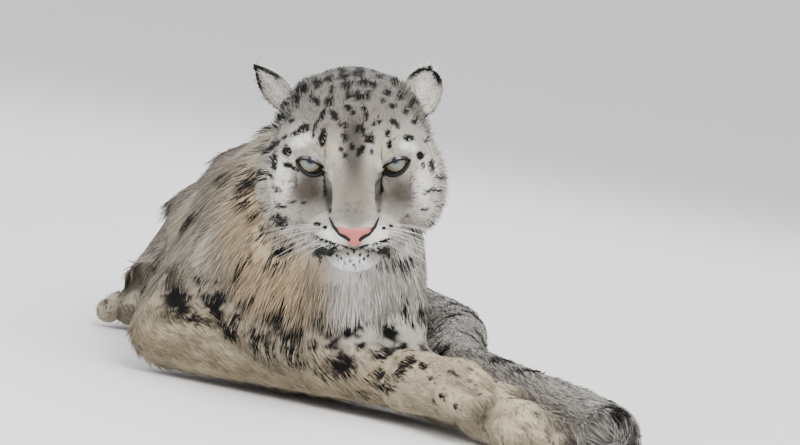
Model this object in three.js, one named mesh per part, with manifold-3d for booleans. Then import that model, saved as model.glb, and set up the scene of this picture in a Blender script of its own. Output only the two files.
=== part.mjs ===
// Snow leopard at rest, life size, in millimetres. The animal faces -Y and Z is up.
// The body is modelled as smooth fields, turned into closed meshes, and parted where its parts meet.
import * as THREE from 'three';
import { triTable } from 'three/addons/objects/MarchingCubes.js';
import { mergeVertices } from 'three/addons/utils/BufferGeometryUtils.js';
import Module from 'manifold-3d';

const wasm = await Module();
wasm.setup();

// Driving dimensions, in millimetres and degrees
const gap = 0.3; // clear space between neighbouring parts
const eyeSpacing = 85; // between the two eye centres
const eyeRadius = 15.5;
const lidRadius = 2.6;
const eyeHeight = 260; // eye line above the floor
const headPitch = 9.5; // the face is lowered by this much
const headTurn = 2.2; // it looks to the animal's left by this much
const headRoll = 10; // the head leans to the animal's right
const coreShare = 0.5; // how far the core under long hair reaches towards the tips
const bodyHairDepth = 18; // of the long hair on neck and trunk, down to the flesh
const tailRadius = 49; // with its hair
const tailHairDepth = 24;

const v = (x, y, z) => new THREE.Vector3(x, y, z);
const radians = THREE.MathUtils.degToRad;

// A small seeded generator, so that the locks vary the same way each time.
function randomFrom(seed) {
  let state = seed;
  return () => {
    state = (state * 1664525 + 1013904223) % 4294967296;
    return state / 4294967296;
  };
}

// Fields: each is a function of x, y, z that is negative inside

function blend(a, b, width) {
  const h = Math.max(width - Math.abs(a - b), 0) / width;
  return Math.min(a, b) - (h * h * h * width) / 6;
}

// An ellipsoid, turned by Euler angles in degrees.
function egg(centre, radii, turn = [0, 0, 0]) {
  const toLocal = new THREE.Matrix4()
    .compose(centre, new THREE.Quaternion().setFromEuler(new THREE.Euler(...turn.map(radians))), v(1, 1, 1))
    .invert();
  const e = toLocal.elements;
  return (x, y, z) => {
    const px = (e[0] * x + e[4] * y + e[8] * z + e[12]) / radii[0];
    const py = (e[1] * x + e[5] * y + e[9] * z + e[13]) / radii[1];
    const pz = (e[2] * x + e[6] * y + e[10] * z + e[14]) / radii[2];
    const k = Math.hypot(px, py, pz);
    const slope = Math.hypot(px / radii[0], py / radii[1], pz / radii[2]);
    return slope < 1e-9 ? -Math.min(...radii) : (k * (k - 1)) / slope;
  };
}

// A tapered round length between two points.
function length(a, b, radiusA, radiusB) {
  const dx = b.x - a.x;
  const dy = b.y - a.y;
  const dz = b.z - a.z;
  const square = dx * dx + dy * dy + dz * dz;
  return (x, y, z) => {
    const along = ((x - a.x) * dx + (y - a.y) * dy + (z - a.z) * dz) / square;
    const t = Math.min(1, Math.max(0, along));
    const away = Math.hypot(x - a.x - t * dx, y - a.y - t * dy, z - a.z - t * dz);
    return away - (radiusA + t * (radiusB - radiusA));
  };
}

// A body swept along y through stations of [y, middle x, half width, top, narrowing of the top].
// It rests on the floor, and closes roundly beyond the first and last inner stations.
function sweep(stations, ends) {
  const first = stations[0][0];
  const last = stations.at(-1)[0];
  return (x, y, z) => {
    const at = Math.min(last, Math.max(first, y));
    let n = 0;
    while (n < stations.length - 2 && stations[n + 1][0] < at) n++;
    const t = (at - stations[n][0]) / (stations[n + 1][0] - stations[n][0]);
    const [before, after] = [stations[Math.max(n - 1, 0)], stations[Math.min(n + 2, stations.length - 1)]];
    const value = (k) => {
      const [p0, p1, p2, p3] = [before[k], stations[n][k], stations[n + 1][k], after[k]];
      return p1 + 0.5 * t * (p2 - p0 + t * (2 * p0 - 5 * p1 + 4 * p2 - p3 + t * (3 * (p1 - p2) + p3 - p0)));
    };
    const high = (value(3) + 12) / 2;
    const up = (z + 12 - high) / high;
    const wide = value(2) * (1 - value(4) * Math.max(-0.6, Math.min(1, up)));
    const beyond = y < first ? (first - y) / ends[0] : y > last ? (y - last) / ends[1] : 0;
    const k = Math.hypot((x - value(1)) / wide, up, beyond);
    return (k - 1) * Math.min(wide, high) * 0.9;
  };
}

function union(width, ...fields) {
  return (x, y, z) => fields.map((f) => f(x, y, z)).reduce((a, b) => blend(a, b, width));
}

// Meshes

// Grid lines from low to high, whose spacing is given by a function of the place.
function gridLines(low, high, spacing) {
  const lines = [low];
  while (lines.at(-1) < high) lines.push(lines.at(-1) + spacing(lines.at(-1)));
  return lines;
}

const square = [[0, 0], [1, 0], [1, 1], [0, 1]];
const cubeCorners = [0, 1].flatMap((high) => square.map(([i, j]) => [i, j, high]));
const levelEdges = [0, 4].flatMap((low) => [0, 1, 2, 3].map((n) => [low + n, low + ((n + 1) % 4)]));
const cubeEdges = [...levelEdges, ...[0, 1, 2, 3].map((n) => [n, n + 4])];

// Marching cubes over a grid of uneven lines, with a few rounds that even out the triangles.
function meshOf(field, xs, ys, zs, rounds = 3) {
  const [nx, ny, nz] = [xs.length, ys.length, zs.length];
  const id = (i, j, k) => i + nx * (j + ny * k);
  const values = new Float64Array(nx * ny * nz);
  const least = 0.04 * Math.min(xs[1] - xs[0], ys[1] - ys[0], zs[1] - zs[0]);
  for (let k = 0; k < nz; k++)
    for (let j = 0; j < ny; j++)
      for (let i = 0; i < nx; i++) {
        const edge = i * j * k === 0 || i === nx - 1 || j === ny - 1 || k === nz - 1;
        const f = edge ? Math.max(least, field(xs[i], ys[j], zs[k])) : field(xs[i], ys[j], zs[k]);
        values[id(i, j, k)] = Math.abs(f) < least ? (f < 0 ? -least : least) : f;
      }
  const points = [];
  const faces = [];
  const known = new Map();
  const vertexOn = (p, q) => {
    const [a, b] = [id(...p), id(...q)];
    const key = a < b ? a * nx * ny * nz + b : b * nx * ny * nz + a;
    if (!known.has(key)) {
      const t = values[a] / (values[a] - values[b]);
      known.set(key, points.length);
      points.push([
        xs[p[0]] + t * (xs[q[0]] - xs[p[0]]),
        ys[p[1]] + t * (ys[q[1]] - ys[p[1]]),
        zs[p[2]] + t * (zs[q[2]] - zs[p[2]]),
      ]);
    }
    return known.get(key);
  };
  for (let k = 0; k < nz - 1; k++)
    for (let j = 0; j < ny - 1; j++)
      for (let i = 0; i < nx - 1; i++) {
        const corners = cubeCorners.map(([a, b, c]) => [i + a, j + b, k + c]);
        const mask = corners.reduce((m, c, n) => (values[id(...c)] < 0 ? m | (1 << n) : m), 0);
        for (let n = 16 * mask; triTable[n] !== -1; n += 3) {
          const face = [0, 1, 2].map((o) => {
            const [a, b] = cubeEdges[triTable[n + o]];
            return vertexOn(corners[a], corners[b]);
          });
          faces.push([face[0], face[2], face[1]]);
        }
      }
  evenOut(field, points, faces, rounds);
  return { points, faces };
}

// Moves each vertex towards its neighbours' middle and back onto the surface.
function evenOut(field, points, faces, rounds) {
  const near = points.map(() => new Set());
  for (const [a, b, c] of faces) {
    near[a].add(b).add(c);
    near[b].add(a).add(c);
    near[c].add(a).add(b);
  }
  const reach = 0.5;
  for (let round = 0; round < rounds; round++) {
    const moved = points.map((p, n) => {
      const middle = [0, 1, 2].map((axis) => {
        let sum = 0;
        for (const m of near[n]) sum += points[m][axis];
        return 0.4 * p[axis] + (0.6 * sum) / near[n].size;
      });
      const [x, y, z] = middle;
      const f = field(x, y, z);
      const slope = [
        field(x + reach, y, z) - f,
        field(x, y + reach, z) - f,
        field(x, y, z + reach) - f,
      ].map((d) => d / reach);
      const square = slope[0] ** 2 + slope[1] ** 2 + slope[2] ** 2;
      return square < 0.01 ? p : middle.map((value, axis) => value - (f * slope[axis]) / square);
    });
    moved.forEach((p, n) => (points[n] = p));
  }
}

function solid({ points, faces }, matrix) {
  const flat = new Float32Array(points.flat());
  const geometry = new THREE.BufferGeometry().setAttribute('position', new THREE.BufferAttribute(flat, 3));
  geometry.setIndex(faces.flat());
  if (matrix) geometry.applyMatrix4(matrix);
  return solidOf(geometry);
}

// The room that a mesh takes up among its neighbours: its surface moved outwards by the gap.
function roomOf({ points, faces }, matrix) {
  const normals = points.map(() => v(0, 0, 0));
  const corner = (n) => v(...points[n]);
  for (const [a, b, c] of faces) {
    const face = corner(b).sub(corner(a)).cross(corner(c).sub(corner(a)));
    for (const n of [a, b, c]) normals[n].add(face);
  }
  const moved = points.map((p, n) => corner(n).addScaledVector(normals[n].normalize(), 1.6 * gap).toArray());
  return solid({ points: moved, faces }, matrix);
}

function solidOf(geometry) {
  const bare = geometry.clone();
  bare.deleteAttribute('normal');
  bare.deleteAttribute('uv');
  const merged = mergeVertices(bare, 1e-3);
  return new wasm.Manifold(
    new wasm.Mesh({
      numProp: 3,
      vertProperties: merged.attributes.position.array,
      triVerts: new Uint32Array(merged.index.array),
    }),
  );
}

function largest(shape) {
  return shape.decompose().sort((a, b) => b.volume() - a.volume())[0];
}

// Cuts a solid in two at a plane through a point, leaving the gap. The first piece lies along the normal.
function part(shape, point, normal) {
  const n = normal.clone().normalize();
  const offset = n.dot(point);
  return [
    shape.trimByPlane(n.toArray(), offset + gap / 2),
    shape.trimByPlane(n.clone().negate().toArray(), -offset + gap / 2),
  ];
}

const aboveFloor = (shape) => shape.trimByPlane([0, 0, 1], 0);

// A closed tube with a section of few sides along points, whose half width and half depth vary.
function tube(points, sizes, sides, flatways = v(0, 0, 1)) {
  const made = { points: [], faces: [] };
  const ring = (n, s) => n * sides + (s % sides);
  points.forEach((p, n) => {
    const ahead = points[Math.min(n + 1, points.length - 1)].clone();
    const tangent = ahead.sub(points[Math.max(n - 1, 0)]).normalize();
    const across = tangent.clone().cross(flatways).normalize();
    const up = across.clone().cross(tangent).normalize();
    for (let s = 0; s < sides; s++) {
      const angle = (2 * Math.PI * s) / sides;
      const [wide, deep] = sizes[n];
      made.points.push(
        p.clone()
          .addScaledVector(across, wide * Math.cos(angle))
          .addScaledVector(up, deep * Math.sin(angle))
          .toArray(),
      );
    }
  });
  for (let n = 0; n < points.length - 1; n++)
    for (let s = 0; s < sides; s++) {
      made.faces.push([ring(n, s), ring(n + 1, s), ring(n, s + 1)]);
      made.faces.push([ring(n, s + 1), ring(n + 1, s), ring(n + 1, s + 1)]);
    }
  const last = points.length - 1;
  for (let s = 1; s < sides - 1; s++) {
    made.faces.push([ring(0, 0), ring(0, s), ring(0, s + 1)]);
    made.faces.push([ring(last, 0), ring(last, s + 1), ring(last, s)]);
  }
  return made;
}

// The same mesh with its faces pointing out.
function facingOut(mesh) {
  if (solid(mesh).volume() > 0) return mesh;
  return { points: mesh.points, faces: mesh.faces.map(([a, b, c]) => [a, c, b]) };
}

const tubeSolid = (...details) => solid(facingOut(tube(...details)));

// Locks: flat, tapered and bent over along the lie of the coat. The rows give, from the sunk root
// to the tip, the share of the length, the height above the core and the share of the width.
const lockRows = [[-0.26, -10, 0.7], [0.2, 5, 1], [0.62, 11, 0.72], [1, 7, 0.06]];
const lockThickness = 0.3; // of its width

// The nearest place on a field's surface, with the direction away from it.
function onSurface(field, start) {
  const reach = 0.5;
  const p = start.clone();
  const away = v(0, 0, 1);
  for (let round = 0; round < 8; round++) {
    const f = field(p.x, p.y, p.z);
    const [x, y, z] = p.toArray();
    away.set(field(x + reach, y, z) - f, field(x, y + reach, z) - f, field(x, y, z + reach) - f);
    away.divideScalar(reach);
    p.addScaledVector(away, -f / Math.max(away.lengthSq(), 0.2));
  }
  return { p, away: away.clone().normalize() };
}

function lock(field, start, lie, long, wide, curl, more = 0) {
  const root = onSurface(field, start);
  const along = lie.clone().addScaledVector(root.away, -lie.dot(root.away)).normalize();
  const across = along.clone().cross(root.away);
  const points = lockRows.map(([share, height]) => {
    const ahead = root.p.clone().addScaledVector(along, share * long + Math.sign(share - 0.5) * more);
    ahead.addScaledVector(across, curl * long * share ** 2);
    const place = onSurface(field, ahead);
    return place.p.addScaledVector(place.away, height);
  });
  const sizes = lockRows.map(([, , share]) => {
    return [0.7 * lockThickness * wide * share + more, 0.57 * wide * share + 2 * more];
  });
  return facingOut(tube(points, sizes, 3, across));
}

// Head, in its own frame from between the eyes: x to the animal's left, y back, z up

const headFrame = new THREE.Matrix4().compose(
  v(0, 70, eyeHeight),
  new THREE.Quaternion()
    .setFromAxisAngle(v(0, 1, 0), radians(-headRoll))
    .multiply(new THREE.Quaternion().setFromAxisAngle(v(0, 0, 1), radians(headTurn)))
    .multiply(new THREE.Quaternion().setFromAxisAngle(v(1, 0, 0), radians(headPitch))),
  v(1, 1, 1),
);
const inHead = (x, y, z) => v(x, y, z).applyMatrix4(headFrame);

const both = (make) => [make(-1), make(1)];
const headField = union(
  16,
  egg(v(0, 78, 7), [79, 86, 79]), // brain case
  egg(v(0, 18, 26), [52, 34, 30]), // forehead
  ...both((s) => egg(v(s * 58, 50, -30), [42, 62, 56])), // cheeks
  ...both((s) => egg(v(s * 43, 16, 14), [20, 16, 9], [0, s * -12, s * 14])), // brow ridges
  length(v(0, 6, 4), v(0, -60, -38), 26, 22), // bridge of the nose
  ...both((s) => egg(v(s * 22, -45, -58), [28, 31, 21])), // whisker pads
  egg(v(0, -32, -82), [31, 35, 21]), // chin
  egg(v(0, 30, -72), [62, 60, 40]), // jaw and throat
  egg(v(0, -66, -50), [17, 16, 14]), // tip of the nose
);
// Hollows: the eye sockets' inner corners and the dip under each cheek bone
const hollows = both((s) => egg(v(s * 36, -22, -10), [15, 16, 16]));
function headWithHollows(x, y, z) {
  const base = headField(x, y, z);
  return Math.max(base, -Math.min(...hollows.map((f) => f(x, y, z))) - 1);
}

const faceGrid = [
  gridLines(-114, 114, (x) => (Math.abs(x + 4) < 50 ? 12.8 : 24)),
  gridLines(-98, 176, (y) => (y < -14 ? 12.5 : 28)),
  gridLines(-124, 104, (z) => (z < 22 ? 13 : 22)),
];
const headMesh = meshOf(headWithHollows, ...faceGrid);
let head = solid(headMesh, headFrame);
let headRoom = roomOf(headMesh, headFrame);

// Cheek ruff: locks that lie back and down behind each cheek
const cheekRandom = randomFrom(5);
for (const s of [-1, 1])
  for (let n = 0; n < 4; n++) {
    const start = v(s * 92, 58 + 8 * cheekRandom(), 0 - 27 * n);
    const lie = v(s * 0.25, 0.55, -0.75);
    const details = [headWithHollows, start, lie, 58, 34, 0.3 * (cheekRandom() - 0.5)];
    head = head.add(solid(lock(...details), headFrame));
    headRoom = headRoom.add(solid(lock(...details, 4 * gap), headFrame));
  }

// Eyes, with their lids as rims round the opening
const eyeCentre = (s) => v((s * eyeSpacing) / 2, 6, 0);
const eyes = {};
const eyeRooms = [];
for (const [side, s] of [['right', -1], ['left', 1]]) {
  const ball = (radius) => {
    const sphere = new THREE.SphereGeometry(radius, 12, 8);
    sphere.translate(...eyeCentre(s).toArray());
    sphere.applyMatrix4(headFrame);
    return solidOf(sphere);
  };
  eyes[side] = ball(eyeRadius);
  eyeRooms.push(ball(eyeRadius + gap));
  const rim = [];
  const steps = 14;
  for (let n = 0; n <= steps; n++) {
    const angle = (2 * Math.PI * n) / steps;
    const wide = 16 * Math.cos(angle);
    const high = 9.5 * Math.sin(angle) * (Math.sin(angle) > 0 ? 0.8 : 1) + Math.abs(wide) * 0.04;
    const away = Math.sqrt(Math.max(eyeRadius ** 2 - wide ** 2 * 0.72 - high ** 2, 20));
    const { x, y, z } = eyeCentre(s);
    rim.push(inHead(x + wide, y - away * 0.98, z + high + s * wide * 0.12));
  }
  rim.pop();
  head = head.add(ringSolid(rim, lidRadius, 4, inHead(eyeCentre(s).x, 10, 0)));
}

// A closed ring of small section through points, facing away from a middle.
function ringSolid(points, radius, sides, middle) {
  const made = { points: [], faces: [] };
  const count = points.length;
  points.forEach((p, n) => {
    const tangent = points[(n + 1) % count].clone().sub(points[(n + count - 1) % count]).normalize();
    const outward = p.clone().sub(middle);
    const across = outward.cross(tangent).normalize();
    const up = tangent.clone().cross(across).normalize();
    for (let s = 0; s < sides; s++) {
      const angle = (2 * Math.PI * s) / sides;
      made.points.push(
        p.clone()
          .addScaledVector(across, radius * Math.cos(angle))
          .addScaledVector(up, radius * Math.sin(angle))
          .toArray(),
      );
    }
  });
  for (let n = 0; n < count; n++)
    for (let s = 0; s < sides; s++) {
      const at = (a, b) => (a % count) * sides + (b % sides);
      made.faces.push([at(n, s), at(n + 1, s), at(n, s + 1)]);
      made.faces.push([at(n, s + 1), at(n + 1, s), at(n + 1, s + 1)]);
    }
  const ring = solid(made);
  if (ring.volume() > 0) return ring;
  return solid({ points: made.points, faces: made.faces.map(([a, b, c]) => [a, c, b]) });
}

// Nose leather, with a comma-shaped nostril on each side
const noseField = union(
  5,
  egg(v(0, -77, -50), [15, 7, 6]),
  egg(v(0, -78, -57), [9, 6.5, 8]),
  ...both((s) => egg(v(s * 12, -73, -51), [8, 8, 7])),
);
const noseStep = () => 5.8;
const noseGrid = [gridLines(-26, 26, noseStep), gridLines(-92, -58, noseStep), gridLines(-71, -37, noseStep)];
const noseMesh = meshOf(noseField, ...noseGrid);
let nose = solid(noseMesh, headFrame);
const noseRoom = roomOf(noseMesh, headFrame);
for (const s of [-1, 1]) {
  const nostril = [
    inHead(s * 5.5, -90, -57),
    inHead(s * 9, -84, -54),
    inHead(s * 14, -78, -50.5),
    inHead(s * 20, -72, -45),
  ];
  const nostrilSizes = [[1.4, 1.6], [2.4, 2.6], [2.2, 2.4], [1, 1.2]];
  nose = nose.subtract(tubeSolid(nostril, nostrilSizes, 6, v(0.1, -1, 0.2)));
}
nose = largest(nose);

// Line of the mouth: a narrow groove from corner to corner, with the fold below the nose
const mouth = [];
for (let n = -4; n <= 4; n++) {
  const side = Math.abs(n) / 4;
  mouth.push(inHead(n * 9.9, -80 + 46 * side ** 2.2, -68 - 13 * Math.sin(0.5 * Math.PI * side)));
}
head = head.subtract(tubeSolid(mouth, mouth.map(() => [1.3, 7]), 4, v(0.05, 1, 0.02)));
const philtrum = [inHead(0, -80, -60), inHead(0, -80, -69)];
head = head.subtract(tubeSolid(philtrum, [[1.1, 6], [1.1, 6]], 4, v(0.02, 1, 0.02)));

// Ears: rounded cups, open to the front
const earPlaces = {
  right: { root: v(-70, 86, 46), lean: -44, face: -48, radii: [22, 11, 30], rise: 13 },
  left: { root: v(70, 84, 46), lean: 16, face: 20, radii: [20, 11, 27], rise: 10 },
};
function ear(s) {
  const { root, lean, face, radii, rise } = earPlaces[s < 0 ? 'right' : 'left'];
  const turn = new THREE.Quaternion().setFromEuler(
    new THREE.Euler(radians(-8), radians(lean), radians(face), 'YZX'),
  );
  const place = headFrame.clone().multiply(new THREE.Matrix4().compose(root, turn, v(1, 1, 1)));
  const shell = new THREE.SphereGeometry(1, 12, 7);
  shell.scale(...radii);
  shell.translate(0, 0, rise);
  shell.applyMatrix4(place);
  const cup = new THREE.SphereGeometry(1, 10, 6);
  cup.scale(radii[0] - 5, 12, radii[2] - 6);
  cup.translate(0, -10, rise);
  cup.applyMatrix4(place);
  return solidOf(shell).subtract(solidOf(cup));
}
const ears = { right: ear(-1), left: ear(1) };

// Trunk and neck

const lowered = (1 - coreShare) * bodyHairDepth;
const neckFields = [
  length(inHead(0, 100, -6), v(-35, 300, 190), 74 - lowered, 92 - lowered),
  egg(v(-24, 232, 150), [116 - lowered, 90 - lowered, 86 - lowered]), // throat and chest ruff
];
const trunkField = sweep(
  [
    [262, -26, 96, 236, 0.2],
    [330, -36, 124, 266, 0.26],
    [410, -46, 138, 284, 0.28],
    [540, -70, 134, 270, 0.28],
    [680, -78, 128, 258, 0.26],
    [800, -64, 130, 250, 0.24],
    [862, -48, 120, 232, 0.2],
  ].map(([y, x, wide, top, narrowing]) => [y, x, wide - lowered, top - lowered, narrowing]),
  [92, 84],
);

// Limbs: the chains of points are joints, with the thickness of the furred limb at each
const limbs = {
  right_foreleg: {
    upper: [v(-104, 350, 176), v(-158, 258, 58), 64, 50],
    lower: [v(-158, 252, 48), v(80, 168, 45), 50, 37],
    paw: { wrist: v(80, 168, 46), toes: v(178, 104, 50), spread: v(0.35, 0.9, 0.15), wide: 36 },
  },
  left_foreleg: {
    upper: [v(36, 342, 168), v(78, 266, 50), 60, 46],
    lower: [v(76, 262, 44), v(165, 135, 31), 46, 33],
    paw: { wrist: v(165, 135, 31), toes: v(238, 45, 24), spread: v(0.8, 0.6, 0), wide: 32 },
  },
  right_hindleg: {
    upper: [v(-112, 806, 112), v(-164, 650, 66), 88, 62],
    lower: [v(-176, 656, 52), v(-186, 830, 40), 46, 34],
    paw: { wrist: v(-190, 800, 34), toes: v(-206, 600, 24), spread: v(1, 0, 0), wide: 32 },
  },
  left_hindleg: {
    upper: [v(-24, 806, 108), v(14, 660, 66), 84, 58],
    lower: [v(24, 664, 50), v(30, 820, 38), 42, 32],
    paw: { wrist: v(34, 790, 32), toes: v(46, 600, 24), spread: v(1, 0, 0), wide: 32 },
  },
};

function pawField({ wrist, toes, spread, wide }) {
  const along = toes.clone().sub(wrist).normalize();
  const across = spread.clone().addScaledVector(along, -spread.dot(along)).normalize();
  const toeFields = [-1.5, -0.5, 0.5, 1.5].map((place) => {
    const back = 5 * Math.abs(place) ** 1.5;
    const root = toes.clone().addScaledVector(along, -26 - back).addScaledVector(across, place * 19);
    const tip = toes.clone().addScaledVector(along, 4 - back).addScaledVector(across, place * 23);
    tip.z -= 6;
    return length(root, tip, 17, 16.5);
  });
  const palm = wrist.clone().lerp(toes, 0.66);
  const ball = toes.clone().addScaledVector(along, -22);
  return union(
    7,
    union(16, length(wrist, palm, wide, wide - 2), length(palm, ball, wide - 2, 26)),
    ...toeFields,
  );
}

// A mesh of a field over the box that its points and reach give.
function bodyMesh(field, points, reach, step) {
  const box = new THREE.Box3().setFromPoints(points).expandByScalar(reach);
  const lines = ['x', 'y', 'z'].map((axis) => gridLines(box.min[axis], box.max[axis] + step, () => step));
  const mesh = meshOf(field, ...lines);
  return [solid(mesh), roomOf(mesh)];
}

// A low volume round a length of limb, along which it is parted from the body.
function limbCutter([start, end, radiusA, radiusB], outward, more = 0) {
  const along = end.clone().sub(start);
  const at = (t) => start.clone().addScaledVector(along, t).add(v(outward, 0, 0));
  const size = (t, share) => Array(2).fill(more + share * (radiusA + t * (radiusB - radiusA)));
  const stations = [-0.5, -0.24, 0.2, 0.6, 1, 1.12];
  stations[0] -= more / along.length();
  stations[5] += more / along.length();
  const shares = [0.5, 1, 1.25, 1.25, 1.2, 0.7];
  return tubeSolid(stations.map(at), stations.map((t, n) => size(t, shares[n])), 9, v(0.1, 0.25, 1));
}

const upperFields = [];
const lowerFields = [];
for (const [name, limb] of Object.entries(limbs)) {
  const hind = name.endsWith('hindleg');
  const pawPoints = [limb.paw.wrist, limb.paw.toes];
  const pawStep = hind ? 23 : 17;
  [limb.pawMesh, limb.pawRoom] = bodyMesh(pawField(limb.paw), pawPoints, 64, pawStep);
  upperFields.push(length(...limb.upper));
  if (hind) {
    lowerFields.push(length(...limb.lower));
  } else {
    const ends = limb.lower.slice(0, 2);
    [limb.lowerMesh, limb.lowerRoom] = bodyMesh(length(...limb.lower), ends, 64, 30);
  }
}

const torsoField = union(40, trunkField, union(50, ...neckFields), union(24, ...upperFields));
const wholeField = union(20, torsoField, ...lowerFields);
const trunkPoints = [v(-215, 160, 20), v(110, 900, 300)];
const [trunkMesh, trunkRoom] = bodyMesh(wholeField, trunkPoints, 70, 42);

// Locks on the neck and trunk, in staggered rows
const bodyLocks = [];
const bodyRandom = randomFrom(21);
function bodyLock(start, lie, long, wide) {
  const vary = 0.8 + 0.4 * bodyRandom();
  bodyLocks.push(lock(wholeField, start, lie, long * vary, wide, 0.5 * (bodyRandom() - 0.5)));
}
// throat and chest, below the head
for (let row = 0; row < 3; row++)
  for (let n = 0; n < 4 + (row % 2); n++) {
    const x = -98 - 22 * (row % 2) + 44 * n + 10 * bodyRandom();
    bodyLock(v(x, 150, 148 - 36 * row - 12 * bodyRandom()), v(0.003 * (x + 30), 0.05, -1), 72, 42);
  }
// sides of the neck
for (const [s, x] of [[-1, -150], [1, 92]])
  for (let n = 0; n < 3; n++) bodyLock(v(x, 240, 232 - 44 * n), v(s * 0.3, 0.35, -0.9), 74, 40);
// flanks and back, round the trunk from one side to the other
for (let row = 0; row < 5; row++)
  for (let n = 0; n < 4; n++) {
    const angle = radians(48 * (n - 1.5) + (row % 2 ? 12 : -12));
    const start = v(-60 + 150 * Math.sin(angle), 368 + 106 * row, 90 + 170 * Math.cos(angle));
    bodyLock(start, v(0.4 * Math.sin(angle), 0.9, -0.35 - 0.3 * Math.abs(Math.sin(angle))), 96, 44);
  }

// Tail: a core that the hair hides, in lengths that follow one curve

const tailCurve = new THREE.CatmullRomCurve3([
  v(-40, 880, 128), v(8, 938, 78), v(88, 918, 50), v(136, 800, 46), v(142, 640, 46),
  v(140, 480, 46), v(152, 350, 46), v(196, 240, 45), v(254, 140, 44), v(292, 40, 43), v(296, -14, 42),
]);
const tailCore = tailRadius - coreShare * tailHairDepth;
const tailSteps = 22;
const tailPoints = tailCurve.getSpacedPoints(tailSteps);
const tailSizes = tailPoints.map((p, n) => {
  const t = n / tailSteps;
  const rounding = t > 0.94 ? Math.sqrt(1 - ((t - 0.94) / 0.075) ** 2) : 1;
  const thick = tailCore * Math.min(1, 0.86 + t * 0.4) * rounding;
  return [thick * 1.06, Math.min(thick, p.z - 2)];
});
const tailTube = tubeSolid(tailPoints, tailSizes, 8);

const tailLengths = tailPoints.slice(1).map((p, n) => {
  return length(tailPoints[n], p, tailSizes[n][1], tailSizes[n + 1][1]);
});
const tailField = (x, y, z) => tailLengths.reduce((least, f) => Math.min(least, f(x, y, z)), Infinity);
const tailRandom = randomFrom(17);
const tailLocks = [];
const tailRows = 10;
for (let row = 0; row < tailRows; row++) {
  const share = 0.06 + (0.88 * row) / tailRows;
  const tangent = tailCurve.getTangentAt(share);
  const across = tangent.clone().cross(v(0, 0, 1)).normalize();
  for (const side of [-62, 0, 62]) {
    const angle = radians(side + (row % 2 ? 24 : -6) + 14 * (tailRandom() - 0.5));
    const out = across.clone().multiplyScalar(Math.sin(angle)).add(v(0, 0, Math.cos(angle)));
    const start = tailCurve.getPointAt(share).addScaledVector(out, tailCore);
    tailLocks.push(lock(tailField, start, tangent, 92, 38, 0.3 * (tailRandom() - 0.5)));
  }
}

// Parting: neighbours are cut clear of one another

const nape = { point: inHead(0, 118, -20), normal: v(0, -1, 0.25) };
const nodes = {};

let headBody = part(head, nape.point, nape.normal)[0];
headRoom = headRoom.trimByPlane(nape.normal.normalize().toArray(), nape.normal.dot(nape.point) - gap / 2);
for (const room of [...eyeRooms, noseRoom]) headBody = headBody.subtract(room);
for (const side of ['right', 'left']) ears[side] = largest(ears[side].subtract(headRoom));

// Each paw is parted from its limb at the wrist.
const names = Object.keys(limbs);
for (const name of names) {
  const limb = limbs[name];
  const axis = limb.paw.toes.clone().sub(limb.paw.wrist).normalize();
  const wrist = limb.paw.wrist.clone().addScaledVector(axis, 6);
  limb.pawPiece = largest(aboveFloor(part(limb.pawMesh, wrist, axis)[0]));
  limb.pawRoom = limb.pawRoom.trimByPlane(axis.toArray(), axis.dot(wrist) - gap / 2);
  if (limb.lowerMesh) limb.lowerPiece = largest(aboveFloor(part(limb.lowerMesh, wrist, axis)[1]));
}

// The right forepaw lies over the left forearm, so the lower one gives way.
const { right_foreleg: rightFore, left_foreleg: leftFore } = limbs;
for (const room of [rightFore.pawRoom, rightFore.lowerRoom]) {
  leftFore.pawPiece = largest(leftFore.pawPiece.subtract(room));
  leftFore.lowerPiece = largest(leftFore.lowerPiece.subtract(room));
}

// The limbs lie in hollows of the trunk, and their upper lengths come out of it.
const tailReach = tubeSolid(tailPoints, tailSizes.map(([wide, deep]) => [wide + 20, deep + 20]), 8);
const joined = (meshes) => wasm.Manifold.union(meshes.map((mesh) => solid(mesh)));
const coatedTrunk = trunkMesh.add(joined(bodyLocks).subtract(tailReach));
let trunk = aboveFloor(coatedTrunk.subtract(headRoom));
for (const { pawRoom, lowerRoom } of Object.values(limbs)) {
  trunk = trunk.subtract(pawRoom);
  if (lowerRoom) trunk = trunk.subtract(lowerRoom);
}
function takeFromTrunk(limb, outward) {
  const piece = largest(trunk.intersect(limbCutter(limb, outward)));
  trunk = trunk.subtract(limbCutter(limb, outward, gap));
  return piece;
}
for (const name of names) {
  const limb = limbs[name];
  const outward = (name.startsWith('right') ? -0.42 : 0.42) * limb.upper[2];
  if (!limb.lowerPiece) limb.lowerPiece = takeFromTrunk(limb.lower, outward / 2);
  limb.upperPiece = takeFromTrunk(limb.upper, outward);
}
trunk = largest(trunk);

const neckPlane = { point: v(-34, 250, 190), normal: v(0.02, -1, 0.35) };
const ribPlane = { point: v(-90, 520, 130), normal: v(0.12, -1, 0) };
const loinPlane = { point: v(-100, 700, 130), normal: v(-0.1, -1, 0) };
const [neck, behindNeck] = part(trunk, neckPlane.point, neckPlane.normal);
const [chest, behindChest] = part(behindNeck, ribPlane.point, ribPlane.normal);
const [belly, hips] = part(behindChest, loinPlane.point, loinPlane.normal);

const trunkPieces = { neck, chest, belly, hips };
let tail = aboveFloor(tailTube.add(joined(tailLocks))).subtract(trunkRoom);
for (const { pawRoom, lowerRoom } of Object.values(limbs)) {
  tail = tail.subtract(pawRoom);
  if (lowerRoom) tail = tail.subtract(lowerRoom);
}
tail = largest(tail);
const tailPieces = [];
for (const share of [0.1, 0.19, 0.34, 0.5, 0.67, 0.84]) {
  const [ahead, behind] = part(tail, tailCurve.getPointAt(share), tailCurve.getTangentAt(share));
  tailPieces.push(largest(behind));
  tail = largest(ahead);
}
tailPieces.push(tail);

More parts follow.
